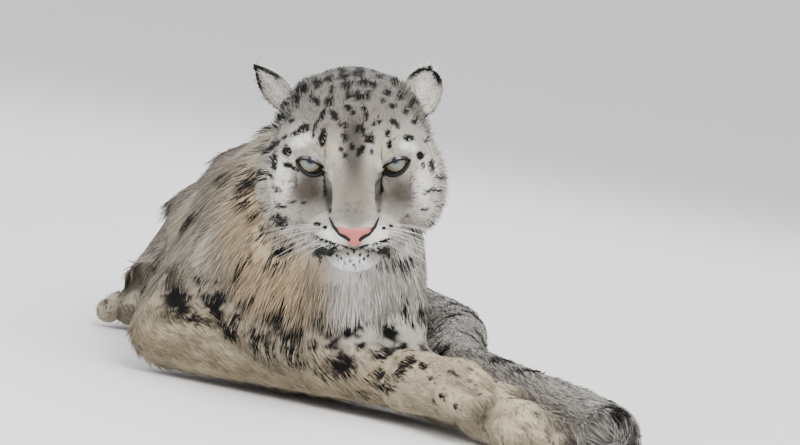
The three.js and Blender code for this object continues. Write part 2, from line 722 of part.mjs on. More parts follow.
nodes.head = largest(headBody);
nodes.nose = nose;
nodes.ear_right = ears.right;
nodes.ear_left = ears.left;
nodes.eye_right = eyes.right;
nodes.eye_left = eyes.left;
Object.assign(nodes, trunkPieces);
for (const name of names) {
  const [side, kind] = name.split('_');
  const words = kind === 'foreleg' ? ['upper_arm', 'forearm', 'forepaw'] : ['thigh', 'shank', 'hindpaw'];
  nodes[`${words[0]}_${side}`] = limbs[name].upperPiece;
  nodes[`${words[1]}_${side}`] = limbs[name].lowerPiece;
  nodes[`${words[2]}_${side}`] = limbs[name].pawPiece;
}
tailPieces.forEach((piece, n) => (nodes[`tail_${n + 1}`] = piece));

// Materials and the finished group

const materials = {
  coat: new THREE.MeshStandardMaterial({ color: 0xc9c4b8, roughness: 0.9 }),
  eye: new THREE.MeshStandardMaterial({ color: 0x9fb3ad, roughness: 0.1 }),
  nose: new THREE.MeshStandardMaterial({ color: 0xd08d86, roughness: 0.5 }),
};
const animal = new THREE.Group();
const box = new THREE.Box3();
for (const [name, shape] of Object.entries(nodes)) {
  const mesh = largest(shape).getMesh();
  const geometry = new THREE.BufferGeometry();
  geometry.setAttribute('position', new THREE.BufferAttribute(new Float32Array(mesh.vertProperties), 3));
  geometry.setIndex(new THREE.BufferAttribute(new Uint32Array(mesh.triVerts), 1));
  geometry.computeBoundingBox();
  box.union(geometry.boundingBox);
  const material = materials[name.split('_')[0]] ?? materials.coat;
  const made = new THREE.Mesh(geometry, material);
  made.name = name;
  animal.add(made);
}
const middle = box.getCenter(new THREE.Vector3());
animal.position.set(-middle.x, -middle.y, -box.min.z);

export default animal;
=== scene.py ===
from math import cos, pi, radians, sin

import bmesh
import bpy
import numpy as np
from mathutils import Matrix, Vector
from mathutils.bvhtree import BVHTree


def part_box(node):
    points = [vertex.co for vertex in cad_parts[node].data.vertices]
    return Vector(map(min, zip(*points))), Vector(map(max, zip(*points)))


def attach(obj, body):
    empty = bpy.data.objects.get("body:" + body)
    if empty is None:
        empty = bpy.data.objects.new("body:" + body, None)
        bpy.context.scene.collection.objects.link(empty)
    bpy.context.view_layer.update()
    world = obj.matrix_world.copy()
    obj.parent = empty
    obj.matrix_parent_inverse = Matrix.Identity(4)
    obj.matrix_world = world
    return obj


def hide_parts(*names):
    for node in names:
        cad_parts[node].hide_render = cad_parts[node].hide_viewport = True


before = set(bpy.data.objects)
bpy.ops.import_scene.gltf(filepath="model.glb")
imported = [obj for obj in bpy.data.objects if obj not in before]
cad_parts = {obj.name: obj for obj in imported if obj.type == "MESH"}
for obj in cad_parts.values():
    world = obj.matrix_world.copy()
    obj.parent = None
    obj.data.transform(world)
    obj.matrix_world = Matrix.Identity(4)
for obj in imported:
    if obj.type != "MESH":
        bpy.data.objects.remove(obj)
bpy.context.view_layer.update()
chance = np.random.default_rng(11)
print("solids loaded:", len(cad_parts), "nodes")

# camera: low, nearly in front of the face, leaning so that the head is level in the picture
camera = {
    "elevation": 4.5,
    "lean": 10.0,
    "distance": 6.0,
    "focalPixels": 6000.0,
    "eyesPixel": (353.0, 163.0),
    "frame": (800, 445),
}
# the head's own frame: x to the animal's left, y back, z up, from between the eyes
headPose = {"pitch": 9.5, "turn": 2.2, "roll": -10.0, "eyeDepth": 0.006}


def unit(v):
    return v / np.maximum(np.linalg.norm(v, axis=-1, keepdims=True), 1e-9)


def step(low, high, value):
    t = np.clip((value - low) / (high - low), 0, 1)
    return t * t * (3 - 2 * t)


def acrossTo(v, direction):  # what is left of v across the direction
    return v - (v * direction).sum(axis=1, keepdims=True) * direction


def colour(red, green, blue):
    c = np.array([red, green, blue]) / 255
    return np.where(c <= 0.04045, c / 12.92, ((c + 0.055) / 1.055) ** 2.4)


def tinted(paint, shade, amount):
    return paint + amount[:, None] * (shade - paint)


def middle(node):
    low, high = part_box(node)
    return (np.array(low) + np.array(high)) / 2


def turnBy(*turns):  # turns in degrees about the named axes, the last one first
    total = Matrix.Identity(3)
    for axis, degrees in turns:
        total = total @ Matrix.Rotation(radians(degrees), 3, axis)
    return total


eyeMiddle = (middle("eye_left") + middle("eye_right")) / 2
headTurn = np.array(turnBy(("Y", headPose["roll"]), ("Z", headPose["turn"]), ("X", headPose["pitch"])))
headOrigin = eyeMiddle - headTurn @ np.array([0, headPose["eyeDepth"], 0])


def toHead(points):  # metres in the row frame to millimetres in the head's frame
    return (points - headOrigin) @ headTurn * 1000


def fromHead(points):
    return np.asarray(points, float) / 1000 @ headTurn.T + headOrigin


# where a point of the animal falls in the picture
tilt, lean = radians(camera["elevation"]), radians(camera["lean"])
ahead = np.array([0, cos(tilt), -sin(tilt)])
across = cos(lean) * np.array([1, 0, 0]) + sin(lean) * np.array([0, sin(tilt), cos(tilt)])
upward = -sin(lean) * np.array([1, 0, 0]) + cos(lean) * np.array([0, sin(tilt), cos(tilt)])
pixelSize = camera["distance"] / camera["focalPixels"]
cameraPlace = (
    eyeMiddle
    - ahead * camera["distance"]
    - across * (camera["eyesPixel"][0] - camera["frame"][0] / 2) * pixelSize
    - upward * (camera["frame"][1] / 2 - camera["eyesPixel"][1]) * pixelSize
)


def pixelOf(points):
    p = points - cameraPlace
    depth = p @ ahead
    return (
        camera["frame"][0] / 2 + camera["focalPixels"] * (p @ across) / depth,
        camera["frame"][1] / 2 - camera["focalPixels"] * (p @ upward) / depth,
    )


waveTurns = chance.normal(size=(5, 3))
wavePhases = chance.uniform(0, 2 * pi, size=5)


def ripple(points, size, shift=0.0):  # smooth value from -1 to 1 that changes over about this size in metres
    waves = np.sin(points @ (waveTurns.T * 2.2 / size) + wavePhases + shift * 3.7)
    return waves.sum(axis=1) / 3.2


def readMesh(mesh):
    count = len(mesh.vertices)
    points = np.empty(count * 3)
    mesh.vertices.foreach_get("co", points)
    edges = np.empty(len(mesh.edges) * 2, int)
    mesh.edges.foreach_get("vertices", edges)
    return points.reshape(-1, 3), edges.reshape(-1, 2)


def writeMesh(mesh, points):
    mesh.vertices.foreach_set("co", np.ascontiguousarray(points, float).ravel())
    mesh.update()


def normalsOf(mesh):
    normals = np.empty(len(mesh.vertices) * 3)
    mesh.vertex_normals.foreach_get("vector", normals)
    return normals.reshape(-1, 3)


def smoothed(values, edges, rounds, share=0.5, keep=None):
    count = np.bincount(edges.ravel(), minlength=len(values)).reshape(-1, 1)
    for _ in range(rounds):
        total = np.zeros_like(values)
        for column in range(values.shape[1]):
            total[:, column] = np.bincount(edges[:, 0], values[edges[:, 1], column], len(values))
            total[:, column] += np.bincount(edges[:, 1], values[edges[:, 0], column], len(values))
        mean = total / np.maximum(count, 1)
        change = share * (mean - values)
        values = values + (change if keep is None else change * keep)
    return values


def shadeSmooth(mesh):
    for polygon in mesh.polygons:
        polygon.use_smooth = True


def pieceFrom(bm, name):
    mesh = bpy.data.meshes.new(name)
    bm.to_mesh(mesh)
    bm.free()
    shadeSmooth(mesh)
    piece = bpy.data.objects.new(name, mesh)
    bpy.context.scene.collection.objects.link(piece)
    return piece


def finishPiece(piece, material):
    piece.data.materials.clear()
    piece.data.materials.append(material)
    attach(piece, "root")


# the skin starts as the solids of flesh, closed into one surface
skinSettings = {
    "voxel": 0.0054,
    # the parts that get a finer mesh, in the head's millimetres
    "faceFront": 55.0,
    "faceHalfWidth": 92,
    "faceHeights": (-112, 60),
    "eyeArea": 31,
    "muzzleFront": -22,
    "muzzleHalfWidth": 46,
    "muzzleHeights": (-98, -38),
    "pawMargin": 0.004,
    "smoothing": 5,
    "bodySmoothing": 55,
}
# one row for each kind of place: how far the skin lies below the tips, then the coat on it
# depth, tuft length, tuft width in millimetres, lift in degrees, tufts per square metre
coatSettings = {
    "face": (2.2, 7.0, 0.8, 24, 560000),
    "head": (4.2, 9.5, 0.9, 27, 300000),
    "cheek": (7.0, 21, 1.0, 24, 240000),
    "neck": (11.0, 32, 1.15, 18, 150000),
    "chest": (11.0, 32, 1.2, 18, 135000),
    "back": (11.0, 29, 1.3, 17, 92000),
    "upperArm": (9.0, 24, 1.2, 17, 130000),
    "forearm": (6.0, 16, 1.05, 19, 210000),
    "paw": (3.5, 11, 0.9, 28, 300000),
    "thigh": (9.0, 26, 1.4, 15, 85000),
    "shank": (7.0, 20, 1.4, 15, 70000),
    "hindPaw": (3.5, 10, 1.1, 20, 130000),
    "tail": (9.0, 28, 1.5, 17, 145000),
}
floorGap = {"start": 0.003, "skin": 0.002, "hair": 0.0006}  # metres above the floor, at least
foldDepth = 0.0016  # metres, where a fold is at its darkest
placeOfNode = {
    "head": "head", "nose": "face", "eye": "head",
    "neck": "neck", "chest": "chest", "belly": "back", "hips": "back",
    "upper_arm": "upperArm", "forearm": "forearm", "forepaw": "paw",
    "thigh": "thigh", "shank": "shank", "hindpaw": "hindPaw", "tail": "tail",
}
places = list(coatSettings)


def placeFor(node):
    return next(place for start, place in placeOfNode.items() if node.startswith(start))


fleshNodes = [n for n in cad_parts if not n.startswith("ear")]  # the eyes only fill their sockets here
gathered = bmesh.new()
nodeOfFace = []
for name in fleshNodes:
    gathered.from_mesh(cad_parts[name].data)
    gathered.faces.ensure_lookup_table()
    nodeOfFace += [name] * (len(gathered.faces) - len(nodeOfFace))
solidTree = BVHTree.FromBMesh(gathered)
bmesh.ops.remove_doubles(gathered, verts=gathered.verts, dist=1e-6)
skin = pieceFrom(gathered, "skin")


def applyRemesh(piece, size):
    change = piece.modifiers.new("remesh", "REMESH")
    change.mode = "VOXEL"
    change.voxel_size = size
    result = bpy.data.meshes.new_from_object(piece.evaluated_get(bpy.context.evaluated_depsgraph_get()))
    piece.modifiers.clear()
    old, piece.data = piece.data, result
    bpy.data.meshes.remove(old)


applyRemesh(skin, skinSettings["voxel"])
print("skin closed:", len(skin.data.vertices), "points")


def keepLargest(bm):
    bm.verts.ensure_lookup_table()
    seen, groups = set(), []
    for start in bm.verts:
        if start.index in seen:
            continue
        seen.add(start.index)
        group, queue = [], [start]
        while queue:
            vert = queue.pop()
            group.append(vert)
            for edge in vert.link_edges:
                other = edge.other_vert(vert)
                if other.index not in seen:
                    seen.add(other.index)
                    queue.append(other)
        groups.append(group)
    groups.sort(key=len, reverse=True)
    bmesh.ops.delete(bm, geom=[v for group in groups[1:] for v in group], context="VERTS")


# finer faces on the face, and again round the eyes, nose and mouth
def refine(bm, wanted):
    chosen = {e for f in bm.faces if wanted(f) for e in f.edges}
    bmesh.ops.subdivide_edges(bm, edges=list(chosen), cuts=1, use_grid_fill=True)
    bmesh.ops.triangulate(bm, faces=[f for f in bm.faces if len(f.verts) > 4])


bm = bmesh.new()
bm.from_mesh(skin.data)
keepLargest(bm)
eyePlaces = {side: toHead(middle("eye_" + side)) for side in ("left", "right")}


def localCentre(face):
    return toHead(np.array(face.calc_center_median()))


def onFace(face):
    x, y, z = localCentre(face)
    low, high = skinSettings["faceHeights"]
    return y < skinSettings["faceFront"] and abs(x) < skinSettings["faceHalfWidth"] and low < z < high


def onFeatures(face):
    x, y, z = localCentre(face)
    if min(np.linalg.norm(np.array([x, y, z]) - e) for e in eyePlaces.values()) < skinSettings["eyeArea"]:
        return True
    low, high = skinSettings["muzzleHeights"]
    return y < skinSettings["muzzleFront"] and abs(x) < skinSettings["muzzleHalfWidth"] and low < z < high


pawBoxes = [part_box(n) for n in fleshNodes if n.startswith("forepaw")]


def onPaw(face):
    middleOfFace = face.calc_center_median()
    margin = skinSettings["pawMargin"]
    return any(
        all(low[k] - margin < middleOfFace[k] < high[k] + margin for k in range(3)) for low, high in pawBoxes
    )


refine(bm, lambda face: onFace(face) or onPaw(face))
refine(bm, onFeatures)
bm.to_mesh(skin.data)
bm.free()
print("face refined:", len(skin.data.vertices), "points")


# the face as one smooth form, from the same eggs and lengths as the solid
def egg(p, centre, radii, turn=(0, 0, 0)):
    turned = np.array(turnBy(("Z", turn[2]), ("Y", turn[1]), ("X", turn[0])))
    q = (p - np.array(centre)) @ turned / np.array(radii)
    k = np.linalg.norm(q, axis=1)
    slope = np.linalg.norm(q / np.array(radii), axis=1)
    return k * (k - 1) / np.maximum(slope, 1e-9)


def lengthwise(p, a, b, radiusA, radiusB):
    a, b = np.array(a, float), np.array(b, float)
    t = np.clip((p - a) @ (b - a) / ((b - a) @ (b - a)), 0, 1)
    return np.linalg.norm(p - a - t[:, None] * (b - a), axis=1) - (radiusA + t * (radiusB - radiusA))


def joined(fields, width):
    total = fields[0]
    for other in fields[1:]:
        h = np.maximum(width - np.abs(total - other), 0) / width
        total = np.minimum(total, other) - h**3 * width / 6
    return total


mouthShape = {"width": 39.6, "front": -80, "back": 46, "height": -68, "drop": 13, "depth": 3.0}


def mouthLine(x):
    side = np.clip(np.abs(x) / mouthShape["width"], 0, 1)
    y = mouthShape["front"] + mouthShape["back"] * side**2.2
    z = mouthShape["height"] - mouthShape["drop"] * np.sin(0.5 * pi * side)
    return y, z


def faceForm(p):
    both = (-1, 1)
    form = joined(
        [egg(p, (0, 78, 7), (79, 86, 79)), egg(p, (0, 18, 26), (52, 34, 30))]
        + [egg(p, (s * 58, 50, -30), (42, 62, 56)) for s in both]
        + [egg(p, (s * 43, 16, 14), (20, 16, 9), (0, s * -12, s * 14)) for s in both]
        + [lengthwise(p, (0, 6, 4), (0, -60, -38), 25, 21.5)],
        26,
    )
    muzzle = joined(
        [egg(p, (s * 22, -45, -58), (28, 31, 21)) for s in both]
        + [egg(p, (0, -32, -82), (31, 35, 21)), egg(p, (0, 30, -72), (62, 60, 40))]
        + [egg(p, (0, -66, -50), (17, 16, 14))],
        9,
    )
    form = joined([form, muzzle], 26)
    # hollows beside the bridge, below the inner corners of the eyes
    for s in both:
        form = np.maximum(form, -egg(p, (s * 39, -26, -8), (11, 14, 12)) - 4)
    # the mouth and the fold under the nose
    y, z = mouthLine(p[:, 0])
    inMouth = np.abs(p[:, 0]) < mouthShape["width"]
    gapSize = np.hypot(p[:, 2] - z, 0.3 * (p[:, 1] - y))
    form = form + np.where(inMouth, mouthShape["depth"] * np.exp(-((gapSize / 1.9) ** 2)), 0)
    fold = np.exp(-((p[:, 0] / 1.5) ** 2)) * step(-72, -67, p[:, 2]) * (1 - step(-62, -58, p[:, 2]))
    return form + np.where(p[:, 1] < -55, 2.0 * fold, 0)


# paws: a palm and four toes, in the solids' own millimetres
bodyShift = headOrigin * 1000 - np.array([0, 70, 260])
pawShapes = {
    "forepaw_right": {
        "wrist": (80, 168, 45), "toes": (178, 104, 50), "spread": (0.35, 0.9, 0.15), "wide": 36,
    },
    "forepaw_left": {"wrist": (165, 135, 31), "toes": (238, 45, 24), "spread": (0.8, 0.6, 0), "wide": 32},
    "hindpaw_right": {"wrist": (-190, 800, 34), "toes": (-206, 600, 24), "spread": (1, 0, 0), "wide": 32},
    "hindpaw_left": {"wrist": (34, 790, 32), "toes": (46, 600, 24), "spread": (1, 0, 0), "wide": 32},
}


def pawForm(p, paw):
    wrist, toes = np.array(paw["wrist"], float), np.array(paw["toes"], float)
    alongPaw = unit(toes - wrist)
    spread = np.array(paw["spread"], float)
    acrossPaw = unit(spread - alongPaw * (spread @ alongPaw))
    palm = wrist + 0.66 * (toes - wrist)
    fields = [
        lengthwise(p, wrist, palm, paw["wide"], paw["wide"] - 2),
        lengthwise(p, palm, toes - 22 * alongPaw, paw["wide"] - 2, 26),
    ]
    form = joined(fields, 16)
    for place in (-1.5, -0.5, 0.5, 1.5):
        back = 5 * abs(place) ** 1.5
        root = toes - (26 + back) * alongPaw + 19 * place * acrossPaw
        tip = toes + (5 - back) * alongPaw + 23.5 * place * acrossPaw - np.array([0, 0, 6])
        form = joined([form, lengthwise(p, root, tip, 16, 17)], 5)
    return form


# tail: the solids' own curve, in their millimetres, with the radius of the tail without its hair
# the hair of its end stands up by more degrees, is longer and is denser, each by this share
tailSettings = {
    "flesh": 29.0, "root": 0.86, "swell": 0.4, "endLift": 55, "endLonger": 0.25, "endDenser": 1.2,
}
tailCurve = [
    (-40, 880, 128), (8, 938, 78), (88, 918, 50), (136, 800, 46), (142, 640, 46), (140, 480, 46),
    (152, 350, 46), (196, 240, 45), (254, 140, 44), (292, 40, 43), (296, -14, 42),
]


def curveThrough(knots, steps=5):
    k = np.array([knots[0], *knots, knots[-1]], float)
    t = np.arange(steps)[:, None] / steps
    spans = [
        0.5 * (2 * b + (c - a) * t + (2 * a - 5 * b + 4 * c - d) * t**2 + (3 * b - a - 3 * c + d) * t**3)
        for a, b, c, d in zip(k[:-3], k[1:-2], k[2:-1], k[3:])
    ]
    return np.concatenate([*spans, k[-1:]])


tailLine = curveThrough(tailCurve)


def tailForm(p):
    form = np.full(len(p), 1e3)
    last = len(tailLine) - 1
    for n in range(last):
        sizes = [
            tailSettings["flesh"] * min(1, tailSettings["root"] + tailSettings["swell"] * at / last)
            for at in (n, n + 1)
        ]
        form = np.minimum(form, lengthwise(p, tailLine[n], tailLine[n + 1], *sizes))
    return form


tailWay = unit(tailLine[-1] - tailLine[-2])


def pastTailEnd(p):  # 0 along the tail, 1 over its round end
    return step(-4, 24, (p * 1000 - bodyShift - tailLine[-1]) @ tailWay)


def ontoForm(p, form, depth, rounds=4):
    for _ in range(rounds):
        f = form(p) + depth
        slope = np.stack([form(p + 0.4 * axis) + depth - f for axis in np.eye(3)], axis=1) / 0.4
        move = f / np.maximum((slope**2).sum(axis=1), 0.2)
        p = p - np.clip(move, -6, 6)[:, None] * slope
    return p


points, edges = readMesh(skin.data)
nearest = [solidTree.find_nearest(Vector(p))[2] for p in points]
nodeIndex = np.array([fleshNodes.index(nodeOfFace[n]) for n in nearest])
placeOfNodeIndex = np.array([places.index(placeFor(n)) for n in fleshNodes])
placeOfPoint = placeOfNodeIndex[nodeIndex]
local = toHead(points)
onHead = placeOfPoint == places.index("head")
isCheek = onHead & (local[:, 2] < 20) & (np.abs(local[:, 0]) + 0.5 * local[:, 1] - 0.25 * local[:, 2] > 88)
isCheek |= onHead & (local[:, 2] < -60) & (local[:, 1] > -8)
placeOfPoint[isCheek] = places.index("cheek")
isFace = onHead & ~isCheek & (local[:, 1] < 34) & (local[:, 2] < 40)
placeOfPoint[isFace] = places.index("face")
weights = np.zeros((len(points), len(places)))
weights[np.arange(len(points)), placeOfPoint] = 1
weights = smoothed(weights, edges, 14)
settings = np.array([coatSettings[place] for place in places], float)


def shareOf(*names):
    return weights[:, [places.index(n) for n in names]].sum(axis=1)


points = smoothed(points, edges, skinSettings["smoothing"], 0.5)
onBody = shareOf("neck", "chest", "back", "upperArm", "thigh", "tail")
freeOfFloor = points[:, 2:] > 0.004
points = smoothed(points, edges, skinSettings["bodySmoothing"], 0.5, onBody[:, None] * freeOfFloor)
writeMesh(skin.data, points)
depth = (weights @ settings[:, :1]) / 1000
inward = points - normalsOf(skin.data) * depth
inward[:, 2] = np.maximum(inward[:, 2], floorGap["start"])
points = smoothed(inward, edges, 3, 0.5)
headShare = shareOf("face", "head", "cheek")
headShare = step(0.5, 1.0, headShare)[:, None] * (1 - step(60, 110, toHead(points)[:, 1:2]))
onForm = fromHead(ontoForm(toHead(points), faceForm, (depth * 1000)[:, 0]))
points = points + headShare * (onForm - points)

for name, paw in pawShapes.items():
    share = smoothed((nodeIndex == fleshNodes.index(name)).astype(float).reshape(-1, 1), edges, 5)
    chosen = np.flatnonzero(share[:, 0] > 0.01)
    placed = ontoForm(points[chosen] * 1000 - bodyShift, lambda p: pawForm(p, paw), 3.5)
    points[chosen] += share[chosen] * ((placed + bodyShift) / 1000 - points[chosen])

share = step(0.3, 0.9, shareOf("tail"))[:, None]
chosen = np.flatnonzero(share[:, 0] > 0.01)
placed = ontoForm(points[chosen] * 1000 - bodyShift, tailForm, 0, 6)
points[chosen] += share[chosen] * ((placed + bodyShift) / 1000 - points[chosen])

# lids: the skin lies over the eyeball, and is open in an almond shape
eyeShape = {
    "radius": 15.5, "halfWidth": 14.5, "above": 6.0, "below": 9.3, "slant": 0.3,
    "lid": 2.4, "gazeUp": 21.0,
}


def almond(u, w):  # positive inside the opening; u runs outward from the eye's middle, w up
    w = w - eyeShape["slant"] * u
    side = np.clip(np.abs(u) / eyeShape["halfWidth"], 0, 1)
    profile = (1 - side**2) ** 0.75
    inside = np.minimum(eyeShape["above"] * profile - w, w + eyeShape["below"] * profile)
    return np.where(np.abs(u) < eyeShape["halfWidth"], inside, -(np.abs(u) - eyeShape["halfWidth"]) - 0.5)


def openLids(p):
    for side, s in (("left", 1), ("right", -1)):
        centre = eyePlaces[side]
        q = p - centre
        away = np.linalg.norm(q, axis=1)
        front = (q[:, 1] < -2) & (away < 32)
        opening = almond(s * q[:, 0], q[:, 2])
        wanted = np.where(
            opening > 0,
            eyeShape["radius"] - 2.2 * step(0, 1.2, opening),
            np.maximum(away, eyeShape["radius"] + 0.4 + eyeShape["lid"] * step(0, 3.5, -opening)),
        )
        # soft fold of the socket round the lids
        inFold = (opening < 0) & (opening > -9)
        wanted = np.where(inFold, np.minimum(wanted, eyeShape["radius"] + 2.2 - 0.55 * opening), wanted)
        scale = np.where(front, wanted / np.maximum(away, 1), 1)
        p = centre + q * scale[:, None]
    return p


points = fromHead(openLids(toHead(points)))
points[:, 2] = np.maximum(points[:, 2], floorGap["skin"])
writeMesh(skin.data, points)
normals = normalsOf(skin.data)
local = toHead(points)
# painted shade: folds, such as those between the toes, are painted a little darker
hollow = ((smoothed(points, edges, 5) - points) * normals).sum(axis=1, keepdims=True)
foldPaintedShade = smoothed(np.clip(hollow / foldDepth, 0, 1), edges, 1)
print("skin shaped:", len(points), "points")


# lie of the coat: away from the nose on the head, back and down on the body, along each limb and the tail
def along(nodeA, nodeB):
    return unit(middle(nodeB) - middle(nodeA))


noseTip = np.array([0, -80, -50])
fromNose = unit((local - noseTip) * np.array([1, 1.3, 1])) @ headTurn.T
fromFace = unit(points - fromHead([[0, 40, 10]]))
sideways = np.sign(points[:, :1]) * np.array([[0.2, 0, 0]])
flowOf = {
    "face": fromNose,
    "head": fromNose,
    "cheek": unit(fromNose + np.array([0, 0.1, -0.45])),
    "neck": unit(fromFace * np.array([1, 0.6, 1]) + np.array([0, 0.25, -0.75])),
    "chest": np.array([[0, 0.55, -0.8]]) + sideways,
    "back": np.array([[0, 0.85, -0.5]]) + sideways,
}
flow = np.zeros_like(points)
for place, direction in flowOf.items():
    flow += shareOf(place)[:, None] * direction
limbFlow = {
    "upper_arm_right": along("upper_arm_right", "forearm_right") * 0.3 + np.array([0, 0.1, -0.8]),
    "forearm_right": along("forearm_right", "forepaw_right") + np.array([0, -0.1, -0.35]),
    "forepaw_right": along("forearm_right", "forepaw_right") + np.array([0.1, -0.3, -0.25]),
    "upper_arm_left": np.array([0.1, 0.1, -0.9]),
    "forearm_left": along("forearm_left", "forepaw_left"),
    "forepaw_left": along("forearm_left", "forepaw_left") + np.array([0, -0.2, -0.2]),
    "thigh_right": np.array([-0.1, -0.1, -0.9]),
    "thigh_left": np.array([0.1, -0.1, -0.9]),
    "shank_right": np.array([0, 0.6, -0.5]),
    "shank_left": np.array([0, 0.6, -0.5]),
    "hindpaw_right": np.array([0, -1, -0.2]),
    "hindpaw_left": np.array([0, -1, -0.2]),
}
tailNodes = sorted(n for n in fleshNodes if n.startswith("tail"))
tailPath = np.array([middle(n) for n in tailNodes])
for n, name in enumerate(tailNodes):
    ends = tailPath[min(n + 1, len(tailNodes) - 1)] - tailPath[max(n - 1, 0)]
    limbFlow[name] = unit(ends)
for name, direction in limbFlow.items():
    flow[nodeIndex == fleshNodes.index(name)] = direction
flow = smoothed(unit(flow), edges, 12)
brush = (shareOf("tail") * pastTailEnd(points))[:, None]
flow = flow * (1 - brush) + brush * np.array([[0, 0, -1]])
flow = unit(acrossTo(flow, normals))


# markings, painted where the picture shows them: x, y, half length, half width, turn in degrees
faceMarks = [
    (326, 67, 6, 3, 0), (342, 63, 4, 1.8, 0), (359, 67, 5, 4, 0), (307, 71, 4, 2, 10), (342, 71, 5, 2, 0),
    (375, 70, 4, 2, 0), (358, 74, 7, 2.4, 0), (343, 76, 6, 2, 0), (329, 79, 6, 2, 5), (300, 83, 6, 3, 15),
    (317, 84, 5.5, 3, 0), (331, 88, 2.5, 2.5, 0), (346, 86, 6, 2.6, 0), (364, 83, 9, 2.3, -6),
    (374, 86, 4, 2, -20), (380, 77, 4, 1.6, 0), (302, 93, 6, 2.6, 20), (312, 98, 3.5, 2.5, 30),
    (317, 102, 3, 2.4, 20), (329, 102, 5, 3, 20), (297, 104, 1.8, 3, 0), (348, 95, 5, 3, 0),
    (359, 97, 5, 3, 0), (367, 94, 3, 3.2, 0), (348, 108, 3, 2, -20), (353, 113, 2.2, 2, 0),
    (363, 109, 2.6, 2.2, 20), (366, 116, 2, 3.4, 0), (334, 115, 4.6, 2.4, -60), (340, 124, 2, 2, -60),
    (322, 116, 5.8, 2, 68), (316, 126, 5, 1.5, 75), (313, 135, 3, 1.3, 80), (345, 125, 2.8, 2.8, 0),
    (304, 129, 4.5, 3.2, 25), (296, 133, 6, 1.8, 25), (285, 137, 3, 1.6, 40), (275, 146, 6, 1.8, 48),
    (344, 138, 2, 3.8, 0), (323, 138, 8, 2.7, 78), (358, 129, 2, 3.4, 0), (363, 131, 1.8, 5, 0),
    (367, 139, 1.8, 3.4, 0), (372, 139, 1.8, 3.8, 0), (352, 147, 1.6, 3, 0), (341, 149, 1.8, 2, 0),
    (345, 155, 1.9, 2.4, 0), (363, 148, 1.8, 3, 0), (372, 151, 1.6, 2.6, 0), (358, 152, 1.7, 3.4, 0),
    (377, 123, 4.4, 1.9, 22), (394, 122, 3.8, 2, -32), (398, 127, 2, 1.8, -40), (388, 134, 2.5, 3.4, 0),
    (389, 144, 2.4, 3.8, 0), (409, 138, 4.2, 2.6, -18), (426, 141, 2.4, 1.5, 0), (420, 155, 3, 3.2, 0),
    (423, 166, 1.6, 2.6, 0), (431, 167, 2.2, 5, 8), (437, 177, 2.4, 1.5, 45), (427, 192, 3.2, 1.4, 30),
    (437, 202, 2.6, 1.8, 0), (423, 210, 2.2, 1.1, 0), (429, 223, 4, 2.6, 20), (287, 152, 3.6, 3.4, 0),
    (275, 162, 7, 1.9, 84), (288, 165, 3.6, 2.4, 0), (295, 169, 3.4, 1.5, -30), (266, 172, 2.2, 2, 0),
    (272, 178, 2, 2, 0), (279, 190, 3.2, 1.8, -35), (293, 202, 2.2, 1.2, 0), (303, 203, 1.4, 1, 0),
    (282, 206, 3.6, 1.6, -15), (326, 188, 7, 1.5, 84), (382, 190, 5.5, 1.2, -84),
    (330, 210, 2.4, 1.4, 70), (379, 211, 1.6, 1.2, -70), (317, 224, 2.9, 1.6, 0), (325, 227, 1.9, 1.5, 0),
    (391, 226, 1.6, 1.3, 0), (384, 228, 1.6, 1.2, 0), (324, 251.5, 7, 3, -6), (383, 251, 6, 2.6, 6),
    (346, 247, 6, 0.9, -20), (335, 250, 5, 1.2, -8), (362, 247, 6, 0.9, 20), (373, 250, 5, 1.2, 8),
    (263, 202, 5, 2.8, -40), (283, 218, 6.5, 2.4, -30), (257, 172, 6, 9, 10), (282, 251, 9, 4.5, 0),
    (294, 241, 7, 2.6, -25), (400, 250, 6.5, 3, 15), (413, 229, 3.6, 1.8, 0), (419, 267, 5, 4, 0),
    (251, 190, 4, 9, 25), (268, 232, 8, 3.4, -30), (246, 259, 5, 7, 0), (324, 174, 3.5, 1.6, -60),
    (383, 174, 3.5, 1.6, 60), (388, 92, 4, 2, 0), (400, 98, 4, 2, -10), (412, 106, 3.5, 2, -15),
    (392, 106, 3, 2, -20), (424, 120, 3, 2, -20), (414, 122, 2.5, 2, 0), (406, 112, 2.5, 1.8, 0),
    (383, 100, 3, 2, 0), (430, 132, 2.5, 1.6, 0), (288, 110, 3, 2, 30), (283, 121, 3.5, 1.8, 40),
    (276, 130, 3.5, 1.8, 50), (396, 84, 4, 2, 0), (415, 182, 2.4, 1.4, 0), (434, 190, 2.4, 1.6, 10),
    (420, 240, 4, 2.4, 10), (408, 216, 2, 1.2, 0), (292, 120, 2.5, 1.6, 20),
]
whiskerSpots = [
    (315, 236), (321, 239), (326, 241), (331, 243), (336, 245), (322, 247), (329, 248), (336, 249),
    (390, 238), (385, 240.5), (380, 242.5), (375, 244), (386, 247), (379, 248),
]
faceMarks += [(x, y, 2.5, 1.2, -25 if x < 354 else 25) for x, y in whiskerSpots]
lipSpots = [
    (341, 258), (348, 254), (354, 252), (360, 255), (364, 259), (350, 261), (354, 265), (345, 263),
    (337, 256), (368, 256), (359, 262),
]
faceMarks += [(x, y, 0.8, 1.5, 20 if x < 354 else -20) for x, y in lipSpots]
